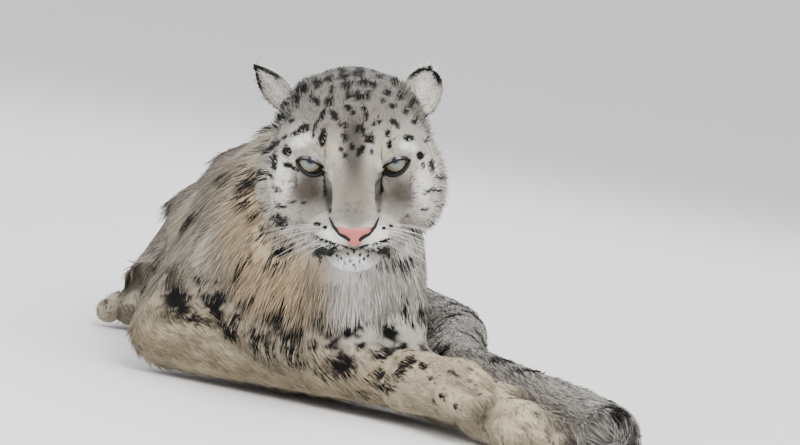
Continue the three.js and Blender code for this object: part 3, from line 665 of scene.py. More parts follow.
bodyMarks = [
    (214, 300, 13, 8, 0), (252, 289, 11, 4, 10), (276, 303, 13, 6, 30), (286, 325, 14, 10, 20),
    (318, 304, 6, 3, 0), (347, 328, 20, 9, 8), (390, 331, 12, 6, -42), (382, 353, 13, 5, 15),
    (341, 362, 12, 9, 0), (407, 363, 8, 5, 20), (376, 376, 9, 5, 35), (384, 387, 7, 3, 10),
    (292, 353, 9, 5, -15), (222, 321, 15, 7, -10), (446, 340, 5, 9, 0), (404, 300, 5, 9, -20),
    (428, 332, 3, 9, 10), (255, 335, 9, 6, 0), (312, 343, 5, 5, 0), (178, 300, 10, 16, 20),
    (262, 264, 6, 3, 10), (240, 262, 8, 4, 20), (228, 281, 9, 4, 0), (200, 280, 6, 5, 0),
    (301, 319, 7, 4, 10), (330, 346, 7, 3.5, 0), (298, 338, 5, 4, 0), (420, 301, 3, 7, 0),
    (412, 322, 4, 5, 0), (424, 347, 5, 3.5, 0), (361, 346, 6, 3.5, 20), (404, 346, 5, 4, 0),
    (422, 366, 4, 3, 0), (396, 374, 5, 2.5, 20), (364, 392, 6, 3.5, 0), (430, 378, 3, 2.5, 0),
    (452, 372, 3, 2, 0), (470, 381, 3, 2, 0), (442, 396, 3, 2.5, 0), (320, 371, 6, 4, 0),
    (268, 345, 6, 4, 0), (238, 318, 6, 5, 0), (306, 290, 5, 3, 0), (196, 318, 7, 5, 0),
]
# soft tints on the face, the fur's own tones and some painted shade: x, y, half sizes, turn, colour,
# strength
faceTintsAndShade = [
    (354, 194, 21, 40, 0, (108, 98, 86), 0.8), (354, 216, 14, 10, 0, (112, 109, 107), 0.6),
    # painted shade: dark patches below the eyes, and thin dark lines down the sides of the bridge
    (307, 190, 18, 17, 30, (54, 46, 38), 0.86), (405, 192, 17, 17, -30, (60, 52, 44), 0.8),
    (328, 194, 4, 24, 4, (44, 36, 30), 0.65), (380, 194, 4, 24, -4, (44, 36, 30), 0.65),
    (350, 118, 48, 24, 0, (116, 109, 99), 0.6), (345, 78, 64, 30, 0, (112, 108, 101), 0.6),
    (272, 142, 15, 24, 0, (116, 111, 104), 0.5), (302, 141, 14, 7, 25, (240, 240, 240), 0.8),
    (408, 147, 11, 6, -20, (240, 240, 240), 0.8), (333, 150, 7, 9, 0, (206, 190, 164), 0.7),
    (382, 150, 6, 9, 0, (206, 190, 164), 0.7), (354, 148, 14, 38, 0, (42, 36, 31), 0.82),
    (335, 236, 16, 13, 0, (250, 248, 244), 0.9), (374, 236, 16, 13, 0, (250, 248, 244), 0.9),
    (354, 268, 30, 13, 0, (250, 250, 254), 0.95), (281, 182, 10, 28, 0, (236, 234, 228), 0.7),
    (424, 190, 11, 30, 0, (240, 238, 234), 0.7), (330, 172, 3, 14, 8, (232, 224, 208), 0.7),
    (379, 172, 3, 14, -8, (232, 224, 208), 0.7),
]
baseColours = {
    "face": (172, 166, 156), "head": (130, 126, 119), "cheek": (204, 197, 185), "neck": (172, 162, 145),
    "chest": (174, 165, 149), "back": (128, 121, 111), "upperArm": (132, 124, 111),
    "forearm": (166, 152, 128), "paw": (178, 165, 142), "thigh": (128, 121, 111),
    "shank": (150, 142, 128), "hindPaw": (168, 157, 138), "tail": (150, 146, 140),
}
markColour = colour(4, 4, 4)
crownEdge = 104  # pixel row above which the marks lie on top of the head, seen nearly edge on
# how much the hair spreads each mark, along it and across it
markGrowth = {"face": (1.5, 1.5), "crown": (1.1, 1.9), "body": (1.3, 1.3)}
placeColours = np.array([colour(*baseColours[place]) for place in places])


def ellipseDistance(px, py, mark, growth=(1, 1)):
    x, y, longHalf, shortHalf, turn = mark[:5]
    longHalf, shortHalf = longHalf * growth[0], shortHalf * growth[1]
    a = radians(turn)
    dx, dy = px - x, y - py
    return np.hypot((dx * cos(a) + dy * sin(a)) / longHalf, (dy * cos(a) - dx * sin(a)) / shortHalf)


# rosettes and spots elsewhere: their middles are scattered over the skin, no two too close
markSettings = {  # spacing, radius in millimetres, share that are open rings
    "head": (20, 5, 0), "cheek": (26, 4.5, 0), "neck": (48, 10, 0.1), "chest": (58, 13, 0.4),
    "back": (66, 23, 0.85), "upperArm": (50, 13, 0.5), "forearm": (38, 9, 0.1), "paw": (30, 3.5, 0),
    "thigh": (56, 18, 0.6), "shank": (42, 10, 0.1), "hindPaw": (28, 4, 0), "tail": (52, 17, 0.25),
}


def scatterMarks():
    chosen, radii, rings = [], [], []
    for n in chance.permutation(len(points))[:14000]:
        place = places[placeOfPoint[n]]
        if place not in markSettings:
            continue
        spacing, radius, share = markSettings[place]
        if chosen and (np.linalg.norm(np.array(chosen) - points[n], axis=1) < spacing / 1000).any():
            continue
        chosen.append(points[n])
        radii.append(radius / 1000 * chance.uniform(0.75, 1.2))
        rings.append(chance.random() < share)
    return np.array(chosen), np.array(radii), np.array(rings)


markPlaces, markRadii, markRings = scatterMarks()
print("marks scattered:", len(markPlaces))


def wildMarks(p):
    darkness = np.zeros(len(p))
    wobble = ripple(p, 0.016) * 0.28 + ripple(p, 0.006, 1) * 0.16
    for start in range(0, len(p), 20000):
        part = slice(start, start + 20000)
        apart = np.linalg.norm(p[part, None, :] - markPlaces[None], axis=2) / markRadii
        nearest = apart.argmin(axis=1)
        reach = apart[np.arange(len(apart)), nearest] + wobble[part]
        spot = 1 - step(0.8, 1.08, reach)
        ring = 1 - step(0.18, 0.34, np.abs(reach - 0.8))
        ring = np.maximum(ring * step(-0.75, -0.35, ripple(p[part], 0.03, 2)), 0.3 * spot)
        darkness[part] = np.where(markRings[nearest], ring, spot)
    return darkness


def paintCoat(p, n, share, fold):
    px, py = pixelOf(p)
    facing = -(n @ ahead)
    q = toHead(p)
    paint = share @ placeColours
    variety = np.ones(len(p))
    for size, strength, shift in ((0.02, 0.1, 0), (0.007, 0.07, 1), (0.0022, 0.06, 2)):
        variety = variety + strength * ripple(p, size, shift)
    paint = paint * variety[:, None]
    of = {place: share[:, i] for i, place in enumerate(places)}
    head = of["face"] + of["head"] + of["cheek"]
    front = step(0.0, 0.25, facing)
    # tan ruff on the animal's right, white throat and chest
    ruff = (of["neck"] + of["chest"] + 0.5 * of["upperArm"]) * front * (1 - step(170, 320, q[:, 1]))
    tan = step(345, 292, px) * step(215, 262, px) * step(330, 285, py)
    white = step(318, 352, px)
    for amount, shade in ((ruff * tan * 0.7, (216, 188, 150)), (ruff * white * 0.95, (246, 242, 234))):
        paint = tinted(paint, colour(*shade), amount)
    # painted shade: the coat is darker in the folds
    paint = paint * (1 - 0.6 * fold)
    paint = paint * (1 + 0.2 * (of["paw"] + of["forearm"]) * ripple(p, 0.016, 4))[:, None]
    # darker spine
    paint = paint * (1 - 0.25 * (of["back"] * step(0.5, 0.95, n[:, 2])))[:, None]
    grey = head * step(28, 60, q[:, 2])
    paint = tinted(paint, colour(112, 108, 101), 0.7 * grey)
    # the face's tints, with the painted shade below the eyes and beside the bridge
    for x, y, a, b, turn, shade, strength in faceTintsAndShade:
        reach = ellipseDistance(px, py, (x, y, a, b, turn))
        amount = head * front * strength * (1 - step(0.35, 1.3, reach))
        paint = tinted(paint, colour(*shade), amount)
    # listed marks in front, scattered ones elsewhere
    seen = step(-0.08, 0.06, facing) * (head + (of["neck"] + of["chest"]) * step(275, 262, py))
    wobble = ripple(p, 0.006) * 0.16 + ripple(p, 0.0025, 1) * 0.12
    dark = np.zeros(len(p))
    for mark in faceMarks:
        near = np.abs(px - mark[0]) + np.abs(py - mark[1]) < 3.6 * max(mark[2], mark[3])
        growth = markGrowth["crown" if mark[1] < crownEdge else "face"]
        reach = ellipseDistance(px[near], py[near], mark, growth) + wobble[near]
        dark[near] = np.maximum(dark[near], (1 - step(0.78, 1.12, reach)) * seen[near])
    limb = of["forearm"] + of["paw"] + of["chest"] + of["neck"] + of["upperArm"]
    limb = limb * step(0.0, 0.15, facing) * step(262, 275, py)
    for mark in bodyMarks:
        near = np.abs(px - mark[0]) + np.abs(py - mark[1]) < 3 * max(mark[2], mark[3])
        reach = ellipseDistance(px[near], py[near], mark, markGrowth["body"]) + 2 * wobble[near]
        dark[near] = np.maximum(dark[near], (1 - step(0.7, 1.15, reach)) * limb[near])
    trunk = 0.45 * of["forearm"] + of["neck"] + of["chest"]
    handMade = head * step(-0.06, 0.1, facing) * (1 - step(55, 80, q[:, 1])) + trunk * step(0.1, 0.3, facing)
    handMade = np.clip(handMade, 0, 1)
    wild = wildMarks(p) * (1 - handMade) * (1 - 0.7 * step(0.3, 0.8, -n[:, 2]))
    strength = 0.96 - 0.12 * of["back"] - 0.06 * of["upperArm"] - 0.12 * of["neck"]
    strength = strength - 0.9 * of["tail"] * pastTailEnd(p)
    dark = np.maximum(dark, wild * strength)
    return tinted(paint, markColour, np.clip(dark, 0, 1))


softShare = smoothed(weights, edges, 45)  # colours change more slowly than the coat's length


# the skin's own material, and its unwrap that every tuft's patch follows
shadeSmooth(skin.data)
bpy.context.view_layer.objects.active = skin
skin.select_set(True)
bpy.ops.object.mode_set(mode="EDIT")
bpy.ops.mesh.select_all(action="SELECT")
bpy.ops.uv.smart_project(angle_limit=radians(66), island_margin=0.002)
bpy.ops.object.mode_set(mode="OBJECT")
skin.select_set(False)
skin.data.uv_layers[0].name = "OFBake"
print("skin unwrapped")

skinPaint = paintCoat(points, normals, softShare, foldPaintedShade)


paintLayer = "coatColour"


def colourLayer(mesh, paint):
    layer = mesh.color_attributes.new(paintLayer, "FLOAT_COLOR", "POINT")
    full = np.ones((len(paint), 4))
    full[:, :3] = np.clip(paint, 0, 1)
    layer.data.foreach_set("color", full.ravel())


colourLayer(skin.data, skinPaint * 0.86)


def newMaterial(name, roughness, **sockets):
    material = bpy.data.materials.new(name)
    material.use_nodes = True
    shader = material.node_tree.nodes["Principled BSDF"]
    shader.inputs["Roughness"].default_value = roughness
    for socket, value in sockets.items():
        shader.inputs[socket.replace("_", " ")].default_value = value
    return material, material.node_tree.nodes, material.node_tree.links, shader


def addBump(nodes, links, shader, heights, strength, depth):
    bump = nodes.new("ShaderNodeBump")
    bump.inputs["Strength"].default_value = strength
    bump.inputs["Distance"].default_value = depth
    links.new(heights, bump.inputs["Height"])
    links.new(bump.outputs["Normal"], shader.inputs["Normal"])


def coatMaterial(name, bumpSize, bumpDepth):
    material, nodes, links, shader = newMaterial(
        name, 0.72, Specular_IOR_Level=0.12, Sheen_Weight=0.05, Sheen_Roughness=0.5
    )
    paint = nodes.new("ShaderNodeVertexColor")
    paint.layer_name = paintLayer
    place = nodes.new("ShaderNodeTexCoord")
    grain = nodes.new("ShaderNodeTexNoise")
    grain.inputs["Scale"].default_value = bumpSize
    grain.inputs["Detail"].default_value = 3
    links.new(place.outputs["Object"], grain.inputs["Vector"])
    vary = nodes.new("ShaderNodeMix")
    vary.data_type = "RGBA"
    vary.blend_type = "MULTIPLY"
    vary.inputs["Factor"].default_value = 0.16
    links.new(paint.outputs["Color"], vary.inputs["A"])
    links.new(grain.outputs["Fac"], vary.inputs["B"])
    links.new(vary.outputs["Result"], shader.inputs["Base Color"])
    addBump(nodes, links, shader, grain.outputs["Fac"], 0.5, bumpDepth)
    return material


skinMaterial = coatMaterial("shortCoat", 900, 0.0006)
furMaterial = coatMaterial("longCoat", 1500, 0.0002)
finishPiece(skin, skinMaterial)
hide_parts(*[n for n in fleshNodes if not n.startswith(("nose", "eye"))])

# ears: rounded cups of thin skin, open to the front
earSettings = {
    "right": {
        "root": (-70, 86, 46), "lean": -44, "face": -48, "radii": (22, 11, 30),
        "rise": 13, "point": 0.45, "black": (0.68, 0.9, 15),
    },
    "left": {
        "root": (70, 84, 46), "lean": 16, "face": 20, "radii": (22, 11, 25),
        "rise": 8, "point": 0.0, "black": (0.3, 0.6, 14),
    },
    "wall": 3.2, "back": -8,
}


def makeEar(side):
    own = earSettings[side]
    bm = bmesh.new()
    bmesh.ops.create_uvsphere(bm, u_segments=48, v_segments=36, radius=1)
    turn = turnBy(("Y", own["lean"]), ("Z", own["face"]), ("X", earSettings["back"]))
    rx, ry, rz = own["radii"]
    for vert in bm.verts:
        x, y, z = vert.co
        narrow = 1 - own["point"] * max(z, 0) ** 1.5
        rim = max(1 - x * x - z * z, 0) ** 0.5
        deep = ry * rim if y >= 0 else ry * rim - earSettings["wall"] * min(1.0, rim * 3)
        point = turn @ Vector((rx * x * narrow, deep, rz * z + own["rise"]))
        vert.co = Vector(fromHead(np.array(point) + np.array(own["root"])))
    bmesh.ops.recalc_face_normals(bm, faces=bm.faces)
    ear = pieceFrom(bm, "ear" + side.capitalize())
    mesh = ear.data
    p = readMesh(mesh)[0]
    q = (toHead(p) - np.array(own["root"])) @ np.array(turn)
    edge = np.clip(np.hypot(q[:, 0] / rx, (q[:, 2] - own["rise"]) / rz), 0, 1)
    facing = -(normalsOf(mesh) @ headTurn @ np.array(turn))[:, 1]
    paint = np.where((facing > 0)[:, None], colour(206, 200, 190), colour(132, 125, 118))
    inner, outer, height = own["black"]
    rimDark = step(inner, outer, edge) * step(height, height + 9, q[:, 2])
    paint = tinted(paint, colour(26, 24, 24), rimDark)
    colourLayer(mesh, paint)
    finishPiece(ear, skinMaterial)
    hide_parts("ear_" + side)
    return {
        "piece": ear, "points": p, "normals": normalsOf(mesh), "paint": paint, "edge": edge,
        "facing": facing, "flat": q, "turn": np.array(turn), "rz": rz,
    }


ears = {side: makeEar(side) for side in ("right", "left")}
print("ears made")


# tufts: each one a thin three-sided lock that bends over along the lie of the coat
def growTufts(
    name, roots, normal, lie, length, width, lift, paint, uv,
    parts=2, droop=0.15, pull=None, tipPaintedLight=1.22, rootPaintedShade=0.56,
):
    count = len(roots)
    sidewise = unit(np.cross(lie, normal))
    centre = roots - normal * 0.0015
    rings, paintedShades = [], []
    for ring in range(parts + 1):
        t = ring / parts
        angle = lift * (1 - 0.8 * t)
        direction = lie * np.cos(angle)[:, None] + normal * np.sin(angle)[:, None]
        direction = unit(direction + np.array([0, 0, -droop * t]))
        if ring:
            centre = centre + direction * (length / parts)[:, None]
            if pull is not None:
                centre = centre + pull / parts
        upwards = unit(np.cross(sidewise, direction))
        size = width * (0.75 if ring == 0 else 1.0 - 0.45 * (t > 0.6)) * 0.5
        if ring == parts:
            rings.append(centre[:, None, :])
        else:
            corners = [
                centre + sidewise * (size * cos(a))[:, None] + upwards * (size * 0.6 * sin(a))[:, None]
                for a in (pi / 2, pi * 7 / 6, pi * 11 / 6)
            ]
            rings.append(np.stack(corners, axis=1))
        # painted shade and light: each tuft is darker at its root and lighter at its tip
        shade = rootPaintedShade + (tipPaintedLight - rootPaintedShade) * min(1, t * 1.3)
        paintedShades += [shade] * (1 if ring == parts else 3)
    vertices = np.concatenate(rings, axis=1)
    each = vertices.shape[1]
    vertices[:, :, 2] = np.maximum(vertices[:, :, 2], floorGap["hair"])
    pattern = []
    for ring in range(parts - 1):
        for corner in range(3):
            a, b = 3 * ring + corner, 3 * ring + (corner + 1) % 3
            pattern += [(a, a + 3, b), (b, a + 3, b + 3)]
    last = 3 * (parts - 1)
    pattern += [(last + c, each - 1, last + (c + 1) % 3) for c in range(3)]
    pattern = np.array(pattern)
    triangles = (pattern[None] + each * np.arange(count)[:, None, None]).reshape(-1, 3)
    mesh = bpy.data.meshes.new(name)
    mesh.vertices.add(count * each)
    mesh.vertices.foreach_set("co", vertices.astype(np.float32).ravel())
    mesh.loops.add(triangles.size)
    mesh.loops.foreach_set("vertex_index", triangles.astype(np.int32).ravel())
    mesh.polygons.add(len(triangles))
    mesh.polygons.foreach_set("loop_start", np.arange(0, triangles.size, 3, dtype=np.int32))
    mesh.update(calc_edges=True)
    mesh.polygons.foreach_set("use_smooth", np.ones(len(triangles), bool))
    tones = paint[:, None, :] * np.array(paintedShades)[None, :, None]
    colourLayer(mesh, tones.reshape(-1, 3))
    patch = np.array([((v % 3) / 3, v / each) for v in range(each)]) * 0.003
    spots = (np.clip(uv, 0.002, 0.996)[:, None, :] + patch[None]).reshape(-1, 2)
    layer = mesh.uv_layers.new(name="OFBake")
    layer.data.foreach_set("uv", spots[triangles.ravel()].astype(np.float32).ravel())
    piece = bpy.data.objects.new(name, mesh)
    bpy.context.scene.collection.objects.link(piece)
    finishPiece(piece, furMaterial)
    print(name, "grown:", count, "tufts,", len(triangles), "triangles")


# neighbouring tufts lean together, so that their tips meet in small clumps
clumpSettings = {"spacing": 0.3, "share": 0.5}  # spacing as a share of the tufts' length


def clumpPull(root, normal, lie, length):
    spacing = np.maximum(length * clumpSettings["spacing"], 0.0035)
    cell = np.floor(np.stack([np.log(spacing) * 3, *(root / spacing[:, None]).T], axis=1)).astype(int)
    key = cell @ np.array([73856093, 19349663, 83492791, 49979687])
    _, index = np.unique(key, return_inverse=True)
    count = np.bincount(index).astype(float)
    heart = np.stack([np.bincount(index, root[:, axis]) / count for axis in range(3)], axis=1)
    heart += 0.25 * spacing.mean() * chance.normal(size=heart.shape)
    pull = heart[index] - root
    return clumpSettings["share"] * acrossTo(pull, lie)


def triangleAreas(p, tri):
    a, b, c = p[tri[:, 0]], p[tri[:, 1]], p[tri[:, 2]]
    return 0.5 * np.linalg.norm(np.cross(b - a, c - a), axis=1)


# roots are spread over the skin's triangles as thickly as each place wants
skin.data.calc_loop_triangles()
corners = np.empty(len(skin.data.loop_triangles) * 3, int)
skin.data.loop_triangles.foreach_get("vertices", corners)
corners = corners.reshape(-1, 3)
loopsOf = np.empty(len(skin.data.loop_triangles) * 3, int)
skin.data.loop_triangles.foreach_get("loops", loopsOf)
loopsOf = loopsOf.reshape(-1, 3)
uvs = np.empty(len(skin.data.loops) * 2)
skin.data.uv_layers["OFBake"].data.foreach_get("uv", uvs)
uvs = uvs.reshape(-1, 2)
areas = triangleAreas(points, corners)
lookOfPoint = weights @ settings
tuftLength, tuftWidth, tuftLift, tuftsWanted = 1, 2, 3, 4  # its columns
# longer, looser hair round the root of each ear
for own in (earSettings["right"], earSettings["left"]):
    nearEar = 1 - step(26, 48, np.linalg.norm(local - np.array(own["root"]) * 0.96, axis=1))
    lookOfPoint[:, tuftLength] *= 1 + nearEar
    lookOfPoint[:, tuftLift] *= 1 + 0.7 * nearEar
# the tail ends in a brush: there the hair points straight out
lookOfPoint[:, tuftLift] += tailSettings["endLift"] * brush[:, 0]
lookOfPoint[:, tuftLength] *= 1 + tailSettings["endLonger"] * brush[:, 0]
lookOfPoint[:, tuftsWanted] *= 1 + tailSettings["endDenser"] * brush[:, 0]
bare = np.ones(len(points))
for side, s in (("left", 1), ("right", -1)):
    q = local - eyePlaces[side]
    opening = almond(s * q[:, 0], q[:, 2])
    nearLid = (q[:, 1] < 4) & (np.linalg.norm(q, axis=1) < 30)
    bare[nearLid & (opening > -1.8)] = 0
aboveNose = np.abs(local[:, 2] + 53)
inNose = (np.abs(local[:, 0]) < 15 - 0.5 * aboveNose) & (local[:, 1] < -60) & (aboveNose < 14)
bare[inNose] = 0
bare[(normals[:, 2] < -0.6) & (points[:, 2] < 0.02)] *= 0.15
wantedHere = areas * (lookOfPoint[:, tuftsWanted] * bare)[corners].mean(axis=1)
kindOfTriangle = weights[corners].mean(axis=1).argmax(axis=1)
coatPieces = {
    "coatFace": ["face"], "coatHead": ["head"], "coatCheeks": ["cheek"], "coatNeck": ["neck"],
    "coatChest": ["chest"], "coatBack": ["back"], "coatArms": ["upperArm", "forearm"],
    "coatPaws": ["paw", "hindPaw"], "coatThighs": ["thigh", "shank"], "coatTail": ["tail"],
}
density = 1.0
mostTufts = 21500  # in one piece, each of 9 triangles


def pickOn(share, count):  # places at random on triangles, more on those with a larger share
    triangle = np.searchsorted(np.cumsum(share) / share.sum(), chance.random(count))
    a, b = np.sqrt(chance.random(count)), chance.random(count)
    return triangle, np.stack([1 - a, a * (1 - b), a * b], axis=1)


def pickRoots(allowed):
    index = np.flatnonzero(np.isin(kindOfTriangle, [places.index(a) for a in allowed]))
    share = wantedHere[index]
    triangle, mix = pickOn(share, int(share.sum() * density))
    return index[triangle], mix


def spread(values, triangle, mix):
    return np.einsum("ij,ijk->ik", mix, values[triangle])


for pieceName, allowed in coatPieces.items():
    triangle, mix = pickRoots(allowed)
    order = np.argsort(kindOfTriangle[triangle] + points[corners[triangle, 0], 1] * 0.1)
    triangle, mix = triangle[order], mix[order]
    pieces = int(np.ceil(len(triangle) / mostTufts))
    for number, (t, m) in enumerate(zip(np.array_split(triangle, pieces), np.array_split(mix, pieces))):
        root = spread(points[corners], t, m)
        normal = unit(spread(normals[corners], t, m))
        share = spread(softShare[corners], t, m)
        look = spread(lookOfPoint[corners], t, m)
        uv = spread(uvs[loopsOf], t, m)
        lie = spread(flow[corners], t, m)
        clump = np.stack([ripple(root, 0.035, n) for n in (3, 4, 5)], axis=1)
        lie = lie + 0.25 * clump + 0.08 * chance.normal(size=lie.shape)
        lie = unit(acrossTo(lie, normal))
        length = look[:, tuftLength] / 1000 * chance.uniform(0.65, 1.2, len(t))
        width = look[:, tuftWidth] / 1000 * chance.uniform(0.7, 1.25, len(t))
        lift = np.radians(look[:, tuftLift] * chance.uniform(0.5, 1.5, len(t)))
        fold = spread(foldPaintedShade[corners], t, m)
        paint = paintCoat(root, normal, share, fold) * chance.uniform(0.6, 1.25, (len(t), 1))
        name = pieceName if pieces == 1 else pieceName + "_" + str(number + 1)
        pull = clumpPull(root, normal, lie, length)
        growTufts(name, root, normal, lie, length, width, lift, paint, uv, pull=pull)


# short hair on the ears: along the rim outwards, and pale long hair across the opening
def earHair(side):
    own = ears[side]
    mesh = own["piece"].data
    mesh.calc_loop_triangles()
    tri = np.array([t.vertices[:] for t in mesh.loop_triangles])
    p, n = own["points"], own["normals"]
    area = triangleAreas(p, tri)
    inside = own["facing"][tri].mean(axis=1) > 0.1
    share = area * np.where(inside, 1.2, 1.0)
    count = int(12000 * density)
    pick, mix = pickOn(share, count)
    root = spread(p[tri], pick, mix)
    normal = unit(spread(n[tri], pick, mix))
    paint = spread(own["paint"][tri], pick, mix)
    turn = own["turn"]
    upEar = unit((np.array([[0, 0, 1.0]]) @ turn.T) @ headTurn.T)
    inner = inside[pick]
    flat = spread(own["flat"][tri], pick, mix)
    sidewards = np.stack([-flat[:, 0], np.zeros(count), np.full(count, 6.0)], axis=1)
    sidewards = unit(sidewards @ turn.T @ headTurn.T)
    lie = np.where(inner[:, None], sidewards, upEar) + 0.25 * chance.normal(size=root.shape)
    lie = unit(acrossTo(lie, normal))
    rim = spread(own["edge"][tri][:, :, None], pick, mix)[:, 0]
    longHair = inner & (rim < 0.86) & (flat[:, 2] < own["rz"] * 0.75)
    length = np.where(longHair, 0.024, 0.006) * chance.uniform(0.6, 1.2, count)
    width = np.where(longHair, 0.0008, 0.0009) * chance.uniform(0.7, 1.3, count)
    lift = np.radians(np.where(longHair, 32, 18) * chance.uniform(0.5, 1.4, count))
    pale = longHair & (chance.random(count) < 0.75) & (paint.mean(axis=1) > 0.12)
    paint = np.where(pale[:, None], colour(236, 232, 224), paint)
    uv = np.stack([0.5 + flat[:, 0] / 120, 0.25 + flat[:, 2] / 120 + 0.4 * ~inner], axis=1)
    paint = paint * chance.uniform(0.85, 1.12, (count, 1))
    growTufts("coatEar" + side.capitalize(), root, normal, lie, length, width, lift, paint, uv, 2, 0.05)


for side in ears:
    earHair(side)

# eyes: a ball with an iris that looks towards the viewer, under a clear wet surface
eyeColours = {
    "pupil": (8, 9, 10), "inner": (74, 80, 80), "middle": (102, 114, 117),
    "ring": (106, 100, 76), "edge": (14, 12, 11), "white": (34, 28, 24),
}


def makeEye(side):
    bm = bmesh.new()
    bmesh.ops.create_uvsphere(bm, u_segments=64, v_segments=48, radius=eyeShape["radius"] / 1000)
    s = 1 if side == "left" else -1
    turn = turnBy(("Y", headPose["roll"]), ("X", headPose["pitch"] - eyeShape["gazeUp"]))
    gaze = np.array(turn) @ np.array([-0.03 * s, -1, 0])
    gaze = gaze / np.linalg.norm(gaze)
    eyeUp = np.array(turn) @ np.array([0, 0, 1.0])
    centre = middle("eye_" + side)
    for vert in bm.verts:
        p = np.array(vert.co)
        toward = p @ gaze / np.linalg.norm(p)
        bulge = 1 + 0.05 * max(0, (toward - 0.72) / 0.28)
        vert.co = Vector(p * bulge + centre)
    eye = pieceFrom(bm, "eye" + side.capitalize())
    material, nodes, links, shader = newMaterial(
        "eye" + side.capitalize(), 0.12, Specular_IOR_Level=0.4, Coat_Weight=0.35, Coat_Roughness=0.02
    )
    place = nodes.new("ShaderNodeTexCoord")
    shift = nodes.new("ShaderNodeVectorMath")
    shift.operation = "SUBTRACT"
    irisMiddle = centre + gaze * eyeShape["radius"] / 1000
    shift.inputs[1].default_value = tuple(irisMiddle)
    links.new(place.outputs["Object"], shift.inputs[0])
    length = nodes.new("ShaderNodeVectorMath")
    length.operation = "LENGTH"
    links.new(shift.outputs["Vector"], length.inputs[0])
    streaks = nodes.new("ShaderNodeTexNoise")
    streaks.inputs["Scale"].default_value = 900
    links.new(place.outputs["Object"], streaks.inputs["Vector"])
    mixIn = nodes.new("ShaderNodeMath")
    mixIn.operation = "MULTIPLY_ADD"
    mixIn.inputs[1].default_value = 0.0016
    links.new(streaks.outputs["Fac"], mixIn.inputs[0])
    links.new(length.outputs["Value"], mixIn.inputs[2])
    ramp = nodes.new("ShaderNodeValToRGB")
    scaleUp = nodes.new("ShaderNodeMath")
    scaleUp.operation = "MULTIPLY"
    scaleUp.inputs[1].default_value = 1000 / 16
    links.new(mixIn.outputs["Value"], scaleUp.inputs[0])
    links.new(scaleUp.outputs["Value"], ramp.inputs["Fac"])
    stops = [
        (0.0, "pupil"), (0.2, "pupil"), (0.25, "inner"), (0.42, "middle"),
        (0.58, "ring"), (0.68, "ring"), (0.74, "edge"), (1.0, "white"),
    ]
    while len(ramp.color_ramp.elements) < len(stops):
        ramp.color_ramp.elements.new(0.5)
    for element, (at, kind) in zip(ramp.color_ramp.elements, stops):
        element.position = at
        element.color = (*colour(*eyeColours[kind]), 1)
    # painted shade: the top of the ball is painted darker, for the shade of the upper lid and its lashes
    height = nodes.new("ShaderNodeVectorMath")
    height.operation = "DOT_PRODUCT"
    height.inputs[1].default_value = tuple(eyeUp)
    links.new(shift.outputs["Vector"], height.inputs[0])
    shade = nodes.new("ShaderNodeMapRange")
    shade.inputs["From Min"].default_value = -0.002
    shade.inputs["From Max"].default_value = 0.0045
    shade.inputs["To Min"].default_value = 1.0
    shade.inputs["To Max"].default_value = 0.25
    links.new(height.outputs["Value"], shade.inputs["Value"])
    darken = nodes.new("ShaderNodeMix")
    darken.data_type = "RGBA"
    darken.blend_type = "MULTIPLY"
    darken.inputs["Factor"].default_value = 1.0
    links.new(ramp.outputs["Color"], darken.inputs["A"])
    links.new(shade.outputs["Result"], darken.inputs["B"])
    links.new(darken.outputs["Result"], shader.inputs["Base Color"])
    finishPiece(eye, material)
    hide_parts("eye_" + side)


for side in ("left", "right"):
    makeEye(side)
print("eyes made")


# dark wet rims along the lids, thicker below and at the inner corner
def tubeAlong(bm, path, sizes, sides=8, closed=True):
    rings = []
    count = len(path)
    for n in range(count):
        before = path[(n - 1) % count] if closed else path[max(n - 1, 0)]
        after = path[(n + 1) % count] if closed else path[min(n + 1, count - 1)]
        heading = Vector(after) - Vector(before)
        made = bmesh.ops.create_circle(bm, segments=sides, radius=sizes[n], cap_ends=False)
        turn = heading.to_track_quat("Z", "Y").to_matrix().to_4x4()
        bmesh.ops.transform(bm, verts=made["verts"], matrix=Matrix.Translation(Vector(path[n])) @ turn)
        rings.append(made["verts"])
    for n in range(count if closed else count - 1):
        a, b = rings[n], rings[(n + 1) % count]
        offset = min(range(sides), key=lambda k: (b[k].co - a[0].co).length)
        for k in range(sides):
            bm.faces.new((a[k], a[(k + 1) % sides], b[(k + 1 + offset) % sides], b[(k + offset) % sides]))
    if not closed:
        bm.faces.new(rings[0][::-1])
        bm.faces.new(rings[-1])
    bmesh.ops.recalc_face_normals(bm, faces=bm.faces)


def leatherMaterial(name, shade, roughness, grainSize, depth):
    material, nodes, links, shader = newMaterial(name, roughness, Specular_IOR_Level=0.3)
    place = nodes.new("ShaderNodeTexCoord")
    grain = nodes.new("ShaderNodeTexVoronoi")
    grain.inputs["Scale"].default_value = grainSize
    links.new(place.outputs["Object"], grain.inputs["Vector"])
    tone = nodes.new("ShaderNodeValToRGB")
    tone.color_ramp.elements[0].color = (*(shade * 0.75), 1)
    tone.color_ramp.elements[1].color = (*(shade * 1.15), 1)
    links.new(grain.outputs["Distance"], tone.inputs["Fac"])
    links.new(tone.outputs["Color"], shader.inputs["Base Color"])
    addBump(nodes, links, shader, grain.outputs["Distance"], 0.4, depth)
    return material, nodes, links, shader


darkSkinAndShade = leatherMaterial("darkSkinAndShade", colour(7, 6, 6), 0.55, 1400, 0.0002)[0]


